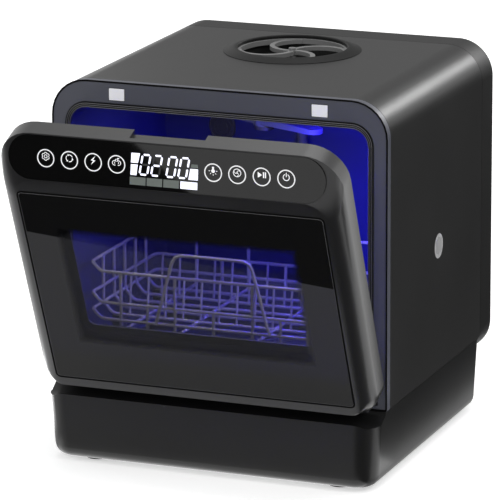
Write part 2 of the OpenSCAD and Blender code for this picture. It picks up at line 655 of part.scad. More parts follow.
// Flat water tank that stands behind the tub, with a neck for the funnel and a hole for the fan's duct
module water_tank() color([0.85, 0.87, 0.9]) place() difference() {
    box(-tank_x, tank_x, tank_y0, tank_y1, tank_z0, tank_z1);
    difference() {
        box(-tank_x + 2.5, tank_x - 2.5, tank_y0 + 2.5, tank_y1 - 2.5, tank_z0 + 2.5, tank_z1 - 2.5);
        bar_y(fan_x, tank_y0, tank_y1, fan_z, duct_d + 6);
    }
    bar_y(fan_x, tank_y0 - 1, tank_y1 + 1, fan_z, duct_d + 1);
    translate([0, spout_y + 0.01, tank_z1 - 10]) cylinder(h = 20, d = 17);
}

// Hose that brings the tank's water down to the sump
module tank_hose() color([0.12, 0.12, 0.12]) place()
    wire(soften([[-60, tank_y0 + 24, tank_z0], [-60, tank_y0 + 24, supply_z + 4], [-supply_x, tub_d - 20, supply_z],
        [-supply_x, sump_y + supply_l, supply_z]], 14), 11, 10);

// Electronics and drying fan behind the tank

board_y = cab_d + 16;
board_x = cab_w / 2 - 170;
board_w = 130;
module board_tray() color([0.8, 0.8, 0.78]) place() difference() {
    box(board_x, board_x + board_w, board_y + 1.6, rear_y - 3, seam_z + 84, seam_z + 184);
    box(board_x + 3, board_x + board_w - 3, board_y - 1, rear_y - 5, seam_z + 87, seam_z + 181);
}
module main_board() color([0.1, 0.35, 0.2]) place() {
    box(board_x + 1, board_x + board_w - 1, board_y, board_y + 1.6, seam_z + 85, seam_z + 183);
    for (i = [0:3]) box(board_x + 14 + 28 * i, board_x + 30 + 28 * i, board_y - 13, board_y, seam_z + 100,
        seam_z + 120 + 10 * (i % 2));
    box(board_x + 20, board_x + board_w - 20, board_y - 9, board_y, seam_z + 150, seam_z + 172);
}
module fan_duct() color([0.2, 0.2, 0.2]) place() difference() {
    bar_y(fan_x, tub_d + 0.1, cab_d + 9, fan_z, duct_d);
    bar_y(fan_x, tub_d - 1, cab_d + 10, fan_z, duct_d - 4);
}
fan_y = cab_d + 9;
module fan_housing() color([0.1, 0.1, 0.1]) place() difference() {
    bar_y(fan_x, fan_y, rear_y - 3, fan_z, 80);
    bar_y(fan_x, fan_y + 3, rear_y - 2, fan_z, 74);
    difference() {
        bar_y(fan_x, fan_y - 1, fan_y + 4, fan_z, duct_d - 4);
        bar_y(fan_x, fan_y - 2, fan_y + 5, fan_z, 14);
        box(fan_x - 1.5, fan_x + 1.5, fan_y, fan_y + 3, fan_z - 30, fan_z + 30);
    }
    bar_y(fan_x, fan_y - 1, fan_y + 10, fan_z, 5 + 2 * run_fit);
}
module fan_rotor() color([0.15, 0.15, 0.15]) place() translate([fan_x, 0, fan_z]) {
    bar_y(0, fan_y + 0.5, fan_y + 12, 0, 5);
    bar_y(0, fan_y + 6, fan_y + 22, 0, 26);
    for (i = [0:8]) rotate([0, i * 40, 0]) translate([0, fan_y + 14, 0]) rotate([0, 0, 35])
        box(-1, 1, -8, 8, 11, 34);
}

// Switch behind the frame that tells whether the door is shut
module door_switch() color([0.1, 0.1, 0.1]) place()
    box(-60, -40, frame_t + tub_t + 0.5, frame_t + 10, cab_top - 26, cab_top - 12);

// Vent plug

// Round slotted plug in the right side
module vent_plug() color([0.66, 0.66, 0.67]) place() difference() {
    union() {
        bar_x(cab_w / 2 - wrap_t - 0.3, cab_w / 2 - 0.2, vent_y, vent_z, vent_d);
        bar_x(cab_w / 2 - 12, cab_w / 2 - wrap_t, vent_y, vent_z, vent_d - 2);
    }
    for (i = [-2:2]) box(cab_w / 2 - 9, cab_w / 2 + 1, vent_y + 4.4 * i - 1, vent_y + 4.4 * i + 1,
        vent_z - 11 + abs(i) * 1.6, vent_z + 11 - abs(i) * 1.6);
}

// Hinge

hinge_x = cab_w / 2 - 14.5;
bracket_t = 3;
slot_x = 3;
arm_t = 3;
arm_x = hinge_x - 3.5 - arm_t;
pin_in = arm_x - 0.5;
pin_out = hinge_x + 2.5;
bush_d = 11;

// A piece and its mirror image on the other side
module both_sides() for (s = [0, 1]) mirror([s, 0, 0]) children();

// Steel brackets bolted behind the front frame, which carry the hinge pins
module hinge_brackets() color("silver") place() both_sides() difference() {
    union() {
        box(hinge_x - bracket_t / 2, hinge_x + bracket_t / 2, hinge_y, frame_t + tub_t + 1,
            hinge_z - 6, hinge_z + 6);
        bar_x(hinge_x - bracket_t / 2, hinge_x + bracket_t / 2, hinge_y, hinge_z, 14);
        box(hinge_x - 5.5, hinge_x + 5, frame_t + tub_t, frame_t + tub_t + 2.5, seam_z + 3, seam_z + 32);
    }
    bar_x(hinge_x - 5, hinge_x + 5, hinge_y, hinge_z, pin_d);
}
module hinge_pins() color("silver") place() both_sides() bar_x(pin_in, pin_out, hinge_y, hinge_z, pin_d);

// Steel arms in the door, and the nylon bushes in them that turn on the pins
module hinge_arms() color("silver") on_door() both_sides() difference() {
    union() {
        box(arm_x, arm_x + arm_t, 0, door_back - liner_t, -5, 130);
        bar_x(arm_x, arm_x + arm_t, 0, 0, bush_d + 1.6);
    }
    bar_x(arm_x - 1, arm_x + arm_t + 1, 0, 0, bush_d);
}
module hinge_bushes() color([0.9, 0.9, 0.86]) on_door() both_sides() difference() {
    bar_x(arm_x, arm_x + arm_t, 0, 0, bush_d);
    bar_x(arm_x - 1, arm_x + arm_t + 1, 0, 0, pin_d + 2 * run_fit);
}

// Door

edge_n = 7;
liner_t = 2.5;
liner_in = door_wall + 0.4;
recess = 6;
strip_t = 2.5;
notch_deep = 5;
magnet_h = strike_z - hinge_z;
door_face = -hinge_in;
glass_back = door_face + glass_t;

// Height of the door's top at depth y, which falls away over the sloping band
function door_top_at(y) = y > door_face + band_lean ? door_top
    : door_top - (door_face + band_lean - y) * band_h / band_lean;
// Outline of the door at depth y, from the form that is inset on every side
function door_ring(y, inset) = let(
    yo = y - inset,
    deep_in = min(max(0, door_face + door_edge_r - yo), door_edge_r),
    edge_in = door_edge_r - sqrt(door_edge_r ^ 2 - deep_in ^ 2),
    side_in = edge_in + inset,
    low_in = min(edge_in, 8) + inset
) [for (p = ring_points(-cab_w / 2 + side_in, cab_w / 2 - side_in, -hinge_h + low_in, door_top_at(yo) - inset,
    max(corner_r - side_in, 6), max(26 - side_in, 6))) [-p[0], y, p[1]]];
// The door's outer form from its back to its flat front, or its hollow when inset is its wall
module door_form(back, inset) loft([
    door_ring(back, inset),
    door_ring(door_face + door_edge_r + inset, inset),
    door_ring(door_face + band_lean + 0.02 + inset, inset),
    each [for (i = [1:edge_n])
        door_ring(door_face + door_edge_r * (1 - sin(90 * i / edge_n)) + inset, inset)]
]);

module window_plan(grow) plate(-window_w / 2 - grow, window_w / 2 + grow, window_up - grow,
    window_up + window_h + grow, 8 + grow, 8 + grow);
module glass_plan(grow) plate(-glass_w / 2 - grow, glass_w / 2 + grow, glass_up - grow, glass_up + glass_h + grow,
    5 + grow, 5 + grow);
module strip_plan(grow)
    plate(-strip_l / 2 - grow, strip_l / 2 + grow, -strip_h / 2 - grow, strip_h / 2 + grow,
        strip_h / 2 + grow - 0.1, strip_h / 2 + grow - 0.1);
module hinge_slots() both_sides()
    box(arm_x - 1, hinge_x + slot_x, -9, door_back + 1, -hinge_h - 1, 9);

// Moulded outer shell with its soft side edges, the seat of the glass, the strip's seat and the notch
module door_shell() color([0.2, 0.2, 0.2]) on_door() difference() {
    union() {
        difference() {
            door_form(door_back, 0);
            door_form(door_back + 1, door_wall);
        }
        deep(glass_back, glass_back + 3) glass_plan(7);
        box(-notch_w / 2 - 3, notch_w / 2 + 3, door_back - 20, door_back - liner_t - 0.4,
            door_top - notch_deep - 3, door_top - 1);
    }
    deep(door_face - 1, glass_back) glass_plan(glass_gap);
    deep(door_face, 0) window_plan(12);
    on_band() deep(-1, strip_t + 0.1) strip_plan(glass_gap);
    on_band() deep(0, 12) strip_plan(-9);
    box(-notch_w / 2, notch_w / 2, door_back - 17, door_back + 1, door_top - notch_deep, door_top + 1);
    hinge_slots();
}

// Toughened glass, flush in the shell
module door_glass() color([0.05, 0.05, 0.06, 0.7]) on_door() deep(door_face, glass_back - 0.05) glass_plan(0);

// Gloss control strip on the sloping band, with the display and the touch board behind it
module control_strip() color([0.03, 0.03, 0.03]) on_door() on_band() deep(0, strip_t) strip_plan(0);
module display_module() color([0.5, 0.52, 0.55]) on_door() on_band()
    deep(strip_t, band_wall + 0.15) plate(-41, 41, -17, 17, 1, 1);
module touch_board() color([0.1, 0.35, 0.2]) on_door() on_band()
    deep(band_wall + 0.15, band_wall + 1.75) plate(30 - strip_l / 2, strip_l / 2 - 30, -20, 20, 3, 3);
band_wall = door_wall * (cos(band_tilt) + sin(band_tilt));

// Inner liner: a rim that meets the seal, and a recessed panel round the window
module door_liner() color([0.24, 0.25, 0.28]) on_door() difference() {
    union() {
        deep(door_back - liner_t, door_back) plate(-cab_w / 2 + liner_in, cab_w / 2 - liner_in, -hinge_h + liner_in,
            door_top - liner_in, corner_r - liner_in, 26 - liner_in);
        deep(door_back - recess - liner_t, door_back) plate(-recess_x, recess_x, 16, door_top - 24, 20, 12);
    }
    deep(door_back - recess, door_back + 1) plate(-recess_x + 2.5, recess_x - 2.5, 18.5, door_top - 26.5, 18, 10);
    deep(0, door_back) window_plan(0);
    box(-notch_w / 2 - 4, notch_w / 2 + 4, 0, door_back + 1, door_top - notch_deep - 3.4, door_top);
    hinge_slots();
    for (p = liner_screw_at) bar_y(p[0], door_back - 10, door_back + 1, p[1], 3.4);
}
recess_x = cab_w / 2 - 28;
liner_screw_at = [for (s = [-1, 1]) for (z = [60, 160, 260]) [s * (cab_w / 2 - 14), z]];
module liner_screws() color("silver") on_door() for (p = liner_screw_at) {
    bar_y(p[0], door_back - 9, door_back, p[1], 3.3);
    bar_y(p[0], door_back, door_back + 1, p[1], 6);
}
module liner_window() color([0.5, 0.55, 0.6, 0.5]) on_door()
    deep(door_back - recess - liner_t - 3, door_back - recess - liner_t) window_plan(8);
module door_magnets() color("silver") on_door() for (x = [-strike_x, strike_x])
    box(x - 8, x + 8, door_back - liner_t - 5, door_back - liner_t, magnet_h - 5, magnet_h + 5);

// Basket

basket_y0 = -basket_out;
basket_y1 = basket_y0 + basket_d;
long_x = [-118, -49, 49, 118];
short_x = [-84, 0, 84];
side_y = [for (i = [1:5]) basket_y0 + 39 + (basket_d - 39) * i / 6];
tine_x = [for (i = [-6:6]) i * 23];
tine_h = 50;
corner_x = 29;
corner_y = 39;
// Right half of a rail that runs round the basket
function rail(z) = [[0, basket_y0, z], [basket_w / 2 - corner_x, basket_y0, z],
    [basket_w / 2, basket_y0 + corner_y, z], [basket_w / 2, basket_y1, z], [0, basket_y1, z]];
floor_wire_z = seam_z + rail_z[0];
top_wire_z = seam_z + rail_z[3];

module basket_frame() color([0.4, 0.38, 0.42]) place() union() {
    for (i = [1:3]) for (s = [0, 1]) mirror([s, 0, 0]) wire(soften(rail(seam_z + rail_z[i]), 9), wire_d);
    for (x = long_x) wire(soften([[x, basket_y0, top_wire_z], [x, basket_y0, floor_wire_z],
        [x, basket_y1, floor_wire_z], [x, basket_y1, top_wire_z]], 5, 2), wire_d);
    for (x = short_x) for (y = [basket_y0, basket_y1])
        wire([[x, y, seam_z + rail_z[1] - 8], [x, y, seam_z + rail_z[2]]], wire_d);
    for (y = side_y) wire([[-basket_w / 2, y, top_wire_z], [-basket_w / 2, y, seam_z + rail_z[1]],
        [-basket_w / 2 + 12, y, floor_wire_z], [basket_w / 2 - 12, y, floor_wire_z],
        [basket_w / 2, y, seam_z + rail_z[1]], [basket_w / 2, y, top_wire_z]], wire_d);
    for (y = [side_y[0], side_y[3]]) for (x = tine_x)
        wire([[x, y, floor_wire_z], [x, y + 6, floor_wire_z + tine_h]], wire_d * 0.75, 6);
}

// Bent handle welded to the front of the basket's two upper rails
handle_x = [48, 72];
handle_top = seam_z + 170;
module basket_handle() color([0.4, 0.38, 0.42]) place() wire(soften([
    for (p = [[-handle_x[1], rail_z[1] + seam_z], [-handle_x[0], handle_top], [handle_x[0], handle_top],
        [handle_x[1], rail_z[1] + seam_z]]) [p[0], basket_y0 - wire_d, p[1]]], 12, 4), wire_d, 10);

glide_x = basket_w / 2 - 16;

// Four nylon glides under the basket that run on the ledges
module basket_glides() color([0.15, 0.15, 0.16]) place()
    for (s = [-1, 1]) for (y = [basket_y0 + 70, basket_y1 - 39])
        box(s * glide_x - 5, s * glide_x + 5, y, y + 24, runner_z + 0.3, floor_wire_z - wire_d / 2);

wrap();
front_frame();
rear_cover();
base_shell();
base_tray();
rubber_feet();
tub();
door_gasket();
strike_plates();
inlet_collar();
inlet_guard();
inlet_funnel();
water_tank();
tank_hose();
vent_plug();
basket_runners();
lamp_lens();
lamp_board();
sump();
sump_clamp_ring();
filter_cup();
filter_plate();
wash_pump();
wash_rotor();
drain_pump();
drain_rotor();
flow_heater();
wash_hose();
riser_pipe();
drain_hose();
drain_port();
fill_valve();
power_inlet();
main_board();
board_tray();
fan_duct();
fan_housing();
fan_rotor();
hinge_brackets();
hinge_pins();
door_switch();
rear_screws();
base_screws();
lower_spray_arm();
upper_spray_arm();
upper_arm_nut();
door_shell();
door_glass();
door_liner();
liner_window();
control_strip();
touch_board();
display_module();
door_magnets();
hinge_arms();
hinge_bushes();
liner_screws();
basket_frame();
basket_handle();
basket_glides();
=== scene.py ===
import json
import math

import bmesh
import bpy
from mathutils import Matrix, Vector


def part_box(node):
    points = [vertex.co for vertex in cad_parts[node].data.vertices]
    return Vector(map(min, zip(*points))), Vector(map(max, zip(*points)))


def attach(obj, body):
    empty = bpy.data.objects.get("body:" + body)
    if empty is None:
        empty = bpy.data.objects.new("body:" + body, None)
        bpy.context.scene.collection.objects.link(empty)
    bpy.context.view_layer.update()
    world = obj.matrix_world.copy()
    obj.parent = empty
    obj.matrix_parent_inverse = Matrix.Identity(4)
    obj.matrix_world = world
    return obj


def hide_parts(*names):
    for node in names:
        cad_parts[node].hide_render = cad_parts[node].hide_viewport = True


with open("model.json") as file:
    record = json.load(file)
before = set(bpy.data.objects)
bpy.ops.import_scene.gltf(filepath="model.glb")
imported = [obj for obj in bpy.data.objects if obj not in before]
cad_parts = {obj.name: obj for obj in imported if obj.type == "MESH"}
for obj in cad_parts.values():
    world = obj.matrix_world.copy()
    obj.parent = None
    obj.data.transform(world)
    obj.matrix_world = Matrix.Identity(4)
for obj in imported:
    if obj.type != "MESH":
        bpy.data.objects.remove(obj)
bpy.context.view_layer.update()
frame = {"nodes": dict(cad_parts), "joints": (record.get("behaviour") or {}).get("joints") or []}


# Camera
# A long lens stands to the right and a little above, as the photograph's does. The view was fitted
# to the cabinet's edges, so it gives the photograph's perspective.

YAW, PITCH, ROLL = math.radians(21.66), math.radians(14.516), math.radians(-0.323)
LOOK_AT = Vector((-0.02746, 0.050235, 0.22385))
DISTANCE = 4.87478
LENS_MM, SENSOR_MM, SEES_TO = 289.0, 36.0, 50.0


def add_object(name, data):
    """Puts a mesh, a lamp or a camera into the scene as an object."""
    thing = bpy.data.objects.new(name, data)
    bpy.context.scene.collection.objects.link(thing)
    return thing


forward = Vector((-math.sin(YAW) * math.cos(PITCH), math.cos(YAW) * math.cos(PITCH), -math.sin(PITCH)))
level = Vector((math.cos(YAW), math.sin(YAW), 0))
upright = level.cross(forward)
right = math.cos(ROLL) * level + math.sin(ROLL) * upright
up = -math.sin(ROLL) * level + math.cos(ROLL) * upright

camera = add_object("camera", bpy.data.cameras.new("camera"))
camera.data.lens = LENS_MM
camera.data.sensor_width = SENSOR_MM
camera.data.clip_end = SEES_TO
camera.matrix_world = Matrix.Translation(LOOK_AT - forward * DISTANCE) @ Matrix(
    (right, up, -forward)).transposed().to_4x4()
bpy.context.scene.camera = camera
bpy.context.scene.view_settings.view_transform = "Standard"


# Studio
# A pale floor under a white surround. The camera, glass and gloss see the surround as white, while
# what it gives off as light is kept to a plain level. The floor grows paler further out, so that it
# meets the surround without a line.

class Shade:
    """An output of a finish's nodes, on which sums can be written."""

    def __init__(self, finish, socket):
        self.finish, self.socket = finish, socket

    def sum(self, operation, first, second):
        """One Math node on two values."""
        return self.finish.add("ShaderNodeMath", {"operation": operation}, {0: first, 1: second})

    def __add__(self, other):
        return self.sum("ADD", self, other)

    def __radd__(self, other):
        return self.sum("ADD", other, self)

    def __sub__(self, other):
        return self.sum("SUBTRACT", self, other)

    def __rsub__(self, other):
        return self.sum("SUBTRACT", other, self)

    def __mul__(self, other):
        return self.sum("MULTIPLY", self, other)

    def __rmul__(self, other):
        return self.sum("MULTIPLY", other, self)

    def __abs__(self):
        return self.sum("ABSOLUTE", self, 0.0)


class Finish:
    """A finish under construction: its node tree, and the one way in which nodes are added to it."""

    def __init__(self, owner):
        """Opens the nodes of a material or of the world."""
        owner.use_nodes = True
        self.tree = owner.node_tree

    def add(self, kind, settings=None, sockets=None, out=0):
        """Adds a node, its settings first, and gives back its output, or a list where out is a tuple."""
        node = self.tree.nodes.new(kind)
        for key, value in (settings or {}).items():
            setattr(node, key, value)
        self.fill(node, sockets or {})
        if isinstance(out, tuple):
            return [Shade(self, node.outputs[name]) for name in out]
        return Shade(self, node.outputs[out])

    def fill(self, node, sockets):
        """Gives sockets of a node their values, or links them to other nodes."""
        for key, value in sockets.items():
            socket = node.inputs[key]
            if isinstance(value, Shade):
                self.tree.links.new(value.socket, socket)
            elif socket.type == "RGBA":
                socket.default_value = (*value, 1.0)
            else:
                socket.default_value = value

    def mix(self, share, first, second):
        """The first colour where share is 0, the second where it is 1."""
        return self.add("ShaderNodeMix", {"data_type": "RGBA"}, {"Factor": share, 6: first, 7: second}, out=2)

    def noise(self, scale, detail):
        """Soft noise that is fixed to the object."""
        where = self.add("ShaderNodeTexCoord", out="Object")
        return self.add("ShaderNodeTexNoise", None, {"Vector": where, "Scale": scale, "Detail": detail})

    def ramp(self, value, start, end, height=1.0):
        """Rises from 0 to a height while the value goes from start to end."""
        return self.add("ShaderNodeMapRange", None, {
            "Value": value, "From Min": start, "From Max": end, "To Min": 0.0, "To Max": height},
            out="Result")


def surface(name):
    """A new material, the finish in which its nodes are made, and its shader."""
    material = bpy.data.materials.new(name)
    made = Finish(material)
    return material, made, made.tree.nodes["Principled BSDF"]


WHITE, BLACK = (1.0, 1.0, 1.0), (0.0, 0.0, 0.0)
RAYS = ("Is Camera Ray", "Is Glossy Ray", "Is Transmission Ray")
SURROUND_LIGHT = 0.42

world = bpy.data.worlds.new("surround")
bpy.context.scene.world = world
sky = Finish(world)
seen, by_gloss, by_glass = sky.add("ShaderNodeLightPath", out=RAYS)
seen = seen + by_gloss + by_glass
sky.fill(sky.tree.nodes["Background"], {
    "Color": WHITE, "Strength": seen.sum("MINIMUM", seen, 1.0) * (1 - SURROUND_LIGHT) + SURROUND_LIGHT})

FLOOR_HALF = 7.0
FLOOR_GREY = (0.8, 0.8, 0.8)
FLOOR_GLOW, FLOOR_IN_GLOSS = 0.5, 0.38
PALER_FROM, PALER_TO, PALER_BY = 1.0, 3.5, 0.5

pale_floor, paint, paper = surface("pale_floor")
seen, by_gloss, by_glass = paint.add("ShaderNodeLightPath", out=RAYS)
out_from_middle = paint.add("ShaderNodeVectorMath", {"operation": "LENGTH"}, {
    0: paint.add("ShaderNodeTexCoord", out="Object")}, out="Value")
paler = paint.ramp(out_from_middle, PALER_FROM, PALER_TO, PALER_BY)
paint.fill(paper, {
    "Base Color": FLOOR_GREY, "Roughness": 0.9, "Specular IOR Level": 0.0, "Emission Color": WHITE,
    "Emission Strength": (seen + by_glass) * (paler + FLOOR_GLOW) + by_gloss * FLOOR_IN_GLOSS})

floor_mesh = bpy.data.meshes.new("floor")
floor_mesh.from_pydata([(x * FLOOR_HALF, y * FLOOR_HALF, 0) for x, y in ((-1, -1), (1, -1), (1, 1), (-1, 1))],
                       [], [(0, 1, 2, 3)])
floor_mesh.materials.append(pale_floor)
floor = add_object("floor", floor_mesh)


# Lamps
# Soft panels stand above, in front, at both sides and behind, each turned to the machine. Two low
# strips light the rounded corners of the base.

def soft_panel(name, stand, aim, size, power, colour=WHITE):
    """A rectangular soft light that faces the point aim. The camera doesn't see the panel itself."""
    lamp = bpy.data.lights.new(name, "AREA")
    lamp.shape, lamp.size, lamp.size_y = "RECTANGLE", size[0], size[1]
    lamp.energy, lamp.color = power, colour
    panel = add_object(name, lamp)
    panel.location = stand
    panel.rotation_mode = "QUATERNION"
    panel.rotation_quaternion = (Vector(aim) - Vector(stand)).to_track_quat("-Z", "Y")
    panel.visible_camera = False


soft_panel("panel_above", (0.2, 0.3, 2.6), (0, 0, 0.3), (2.4, 2.0), 34)
soft_panel("panel_left", (-2.2, -1.6, 1.4), (0, 0, 0.25), (1.2, 1.8), 14)
soft_panel("panel_front", (-0.6, -3.2, 1.7), (0, 0, 0.2), (1.6, 1.2), 24)
soft_panel("panel_right", (1.9, -0.7, 1.75), (0.1, -0.2, 0.35), (0.5, 0.5), 14)
soft_panel("panel_rim", (1.0, 2.2, 1.25), (0.15, 0, 0.4), (0.7, 0.5), 12)
soft_panel("strip_right", (1.5, -0.75, 0.22), (0.2, -0.15, 0.2), (0.22, 0.4), 3)
soft_panel("strip_left", (-1.5, 0.35, 0.22), (-0.2, -0.1, 0.2), (0.22, 0.4), 3)


# Reflection cards
# Black and glowing cards that gloss alone sees, laid on the floor or stood up, as a studio shapes
# the reflections in dark goods. The black ones keep the faces dark, the others light the roundings.

def card(name, corners, glow=0.0):
    """A flat card of that brightness, seen in gloss only."""
    cloth, made, shader = surface(name)
    made.fill(shader, {"Base Color": BLACK, "Specular IOR Level": 0.0, "Emission Color": WHITE,
                       "Emission Strength": glow})
    mesh = bpy.data.meshes.new(name)
    mesh.from_pydata(corners, [], [tuple(range(len(corners)))])
    mesh.materials.append(cloth)
    sheet = add_object(name, mesh)
    for kind in ("camera", "diffuse", "transmission", "volume_scatter", "shadow"):
        setattr(sheet, "visible_" + kind, False)


def floor_card(name, xs, ys, lift=0.003, glow=0.0):
    """A level card between two sides in X and two in Y, a little above the floor."""
    card(name, [(xs[0], ys[0], lift), (xs[1], ys[0], lift), (xs[1], ys[1], lift), (xs[0], ys[1], lift)], glow)


def wall_card(name, xs, zs, y, glow=0.0):
    """An upright card behind the machine, between two sides in X and two heights."""
    card(name, [(xs[0], y, zs[0]), (xs[1], y, zs[0]), (xs[1], y, zs[1]), (xs[0], y, zs[1])], glow)


card("flag_front", [(x, y, 0.003) for x, y in ((-2.5, -0.626), (0.9, -0.300), (0.9, -0.9), (-0.031, -0.9),
                                               (-1.114, -2.2), (-2.5, -2.2))])
floor_card("flag_side", (0.232, 3.2), (-0.04, 3.2))
wall_card("flag_low", (0.1, 3.2), (0.0, 0.5), 3.2)
wall_card("flag_back", (-1.6, 0.2), (0.5, 2.6), 3.0, glow=0.33)
card("glow_right", [(0.232, y, z) for y, z in ((-0.168, 0.11), (-0.085, 0.10), (-0.185, 0.41), (-0.21, 0.44),
                                               (-0.31, 0.44), (-0.30, 0.375), (-0.245, 0.365))], glow=1.7)
floor_card("flag_corner", (0.19, 0.65), (-0.42, -0.15))
floor_card("glow_left", (-0.60, -0.28), (-0.25, 0.20), lift=0.004, glow=1.9)
floor_card("glow_base", (0.22, 0.50), (-0.15, -0.04), lift=0.004, glow=2.2)
floor_card("glow_heel", (-0.42, -0.25), (-0.08, 0.06), lift=0.005, glow=8.0)
floor_card("glow_foot", (-0.24, 0.20), (-0.182, -0.145), lift=0.004, glow=2.6)


# Wrap, frame and rear cover
# The body of the machine: a satin black sheet bent over the top and both sides, between a blue-grey
# moulded frame in front and a deep fine-textured cover behind that six screws hold.

CLOUD_SCALE, CLOUD_DULLS, SPECK_DULLS = 9.0, 0.2, 0.15
GRAIN_STRENGTH = 0.35
WELD_WITHIN = 0.00002
nodes = frame["nodes"]


def satin(name, colour, roughness=0.4, grain=900.0, depth=0.00004, spread=0.12, specular=0.5, metallic=0.0):
    """A moulded or sprayed finish: a little cloudy in colour and gloss, with a fine grain."""
    material, made, shader = surface(name)
    cloud, speck = made.noise(CLOUD_SCALE, 3.0), made.noise(grain, 2.0)
    deeper = tuple(c * (1 - spread) for c in colour)
    lighter = tuple(min(1.0, c * (1 + spread)) for c in colour)
    uneven = (cloud - 0.5) * CLOUD_DULLS + (speck - 0.5) * SPECK_DULLS + 1.0
    bump = made.add("ShaderNodeBump", None, {"Height": speck, "Strength": GRAIN_STRENGTH, "Distance": depth})
    made.fill(shader, {"Base Color": made.mix(cloud, deeper, lighter), "Metallic": metallic,
                       "Roughness": uneven * roughness, "Specular IOR Level": specular, "Normal": bump})
    return material


def dress(names, material, rounding=0.0, angle=32):
    """Gives CAD nodes a finish, smooth round faces and, where asked, softly broken edges."""
    for name in names:
        node = nodes[name]
        node.data.materials.clear()
        node.data.materials.append(material)
        if "custom_normal" in node.data.attributes:
            node.data.attributes.remove(node.data.attributes["custom_normal"])
        node.data.polygons.foreach_set("use_smooth", [True] * len(node.data.polygons))
        weld = node.modifiers.new("weld", "WELD")
        weld.merge_threshold = WELD_WITHIN
        if rounding:
            bevel = node.modifiers.new("edges", "BEVEL")
            bevel.width, bevel.segments = rounding, 2
            bevel.limit_method, bevel.angle_limit = "ANGLE", math.radians(angle)
        split = node.modifiers.new("split", "EDGE_SPLIT")
        split.split_angle = math.radians(angle)
        steady = node.modifiers.new("steady", "WEIGHTED_NORMAL")
        steady.keep_sharp = True


wrap_black = satin("wrap_black", (0.024, 0.024, 0.024), roughness=0.32, specular=0.18)
rear_black = satin("rear_black", (0.010, 0.010, 0.010), roughness=0.5, grain=500.0, depth=0.00012,
                   specular=0.27)
frame_grey = satin("frame_grey", (0.068, 0.071, 0.089), roughness=0.42, specular=0.4)
screw_steel = satin("screw_steel", (0.5, 0.5, 0.52), roughness=0.3, metallic=1.0, spread=0.05)
dress(["wrap"], wrap_black, rounding=0.0008)
dress(["front_frame"], frame_grey, rounding=0.0008)
dress(["rear_cover"], rear_black)
dress(["rear_screws", "base_screws", "liner_screws"], screw_steel)


# Base
# A tapered satin black moulding under the cabinet, rounded along its bottom edge and scooped out in
# front so that the door can swing. A steel tray closes it from below and four rubber feet carry it.

base_black = satin("base_black", (0.008, 0.008, 0.008), roughness=0.34, specular=0.22)
tray_steel = satin("tray_steel", (0.55, 0.56, 0.57), roughness=0.35, metallic=1.0, grain=260.0, spread=0.06)
foot_rubber = satin("foot_rubber", (0.02, 0.02, 0.02), roughness=0.8, grain=1500.0, depth=0.0001,
                    specular=0.2)
dress(["base_shell"], base_black, angle=38)
dress(["base_tray"], tray_steel, rounding=0.0004)
dress(["rubber_feet"], foot_rubber, rounding=0.0015)


# Tub and strike plates
# A smooth grey moulded chamber with two ledges for the basket, painted the deep blue of its lamps' light.
# Two bright plates are clipped into the frame above its mouth, where the door's magnets hold.

# The tub's colour is painted lamp light: deep blue where the moulding itself is grey.
tub_grey = satin("tub_grey", (0.024, 0.026, 0.13), roughness=0.32, grain=300.0, depth=0.00002, specular=0.2)
bright_plate = satin("bright_plate", (0.95, 0.95, 0.98), roughness=0.3, grain=400.0, spread=0.03)
dress(["tub"], tub_grey, rounding=0.0010)
dress(["basket_runners"], tub_grey, rounding=0.0015)
dress(["strike_plates"], bright_plate, rounding=0.0006)


# Door seal
# A black rubber ring pressed into the frame round the tub's mouth. Three thin lips stand on its face.
# Near-black tubes in the folds between them and in the gap that parts the frame from the wrap are painted
# shade.

def polar(radius, degrees, x=0.0, z=0.0):
    """The point at that radius and angle round a middle."""
    turn = math.radians(degrees)
    return x + radius * math.cos(turn), z + radius * math.sin(turn)


def round_loop(y, half_width, low, top, corner, low_corner, inset=0.0, steps=8):
    """Points round an upright rectangle with round corners, drawn in from its sides by the inset."""
    half_width, low, top, corner = half_width - inset, low + inset, top - inset, corner - inset
    points = []
    for x, z, radius, start in ((half_width - corner, top - corner, corner, 0),
                                (corner - half_width, top - corner, corner, 90),
                                (low_corner - half_width, low + low_corner, low_corner, 180),
                                (half_width - low_corner, low + low_corner, low_corner, 270)):
        arc = [polar(radius, start + 90 * i / steps, x, z) for i in range(steps + 1)]
        points += [(across, y, height) for across, height in arc]
    return points


def sweep(bm, points, radius, sides=10, closed=False):
    """A round tube along points, mitred at its turns, added to a bmesh."""
    points = [Vector(p) for p in points]
    count = len(points)
    rings = []
    side = None
    for k, point in enumerate(points):
        before = point - points[k - 1] if k or closed else points[1] - point
        after = points[(k + 1) % count] - point if k < count - 1 or closed else before
        along = (before.normalized() + after.normalized()).normalized()
        if side is None:
            side = along.cross(Vector((0, 0, 1)) if abs(along.z) < 0.9 else Vector((1, 0, 0))).normalized()
        else:
            side = (side - along * side.dot(along)).normalized()
        other = along.cross(side)
        widen = 1 / max(0.5, along.dot(after.normalized()))
        bend = before.normalized().cross(after.normalized())
        ring = []
        for i in range(sides):
            turn = 2 * math.pi * i / sides
            offset = side * math.cos(turn) * radius + other * math.sin(turn) * radius
            if bend.length > 1e-4:
                out = bend.normalized().cross(along)
                offset += out * offset.dot(out) * (widen - 1)
            ring.append(bm.verts.new(point + offset))
        rings.append(ring)
    spans = list(zip(rings, rings[1:])) + ([(rings[-1], rings[0])] if closed else [])
    for one, two in spans:
        shift = 0
        # A closed tube can come back turned, so its last ring meets the nearest corners of the first.
        if one is rings[-1] and closed:
            shift = min(range(sides), key=lambda s: (one[0].co - two[s].co).length)
        for i in range(sides):
            k = (i + 1) % sides
            bm.faces.new((one[i], one[k], two[(k + shift) % sides], two[(i + shift) % sides]))
    if not closed:
        bm.faces.new(reversed(rings[0]))
        bm.faces.new(rings[-1])
    bmesh.ops.recalc_face_normals(bm, faces=bm.faces)


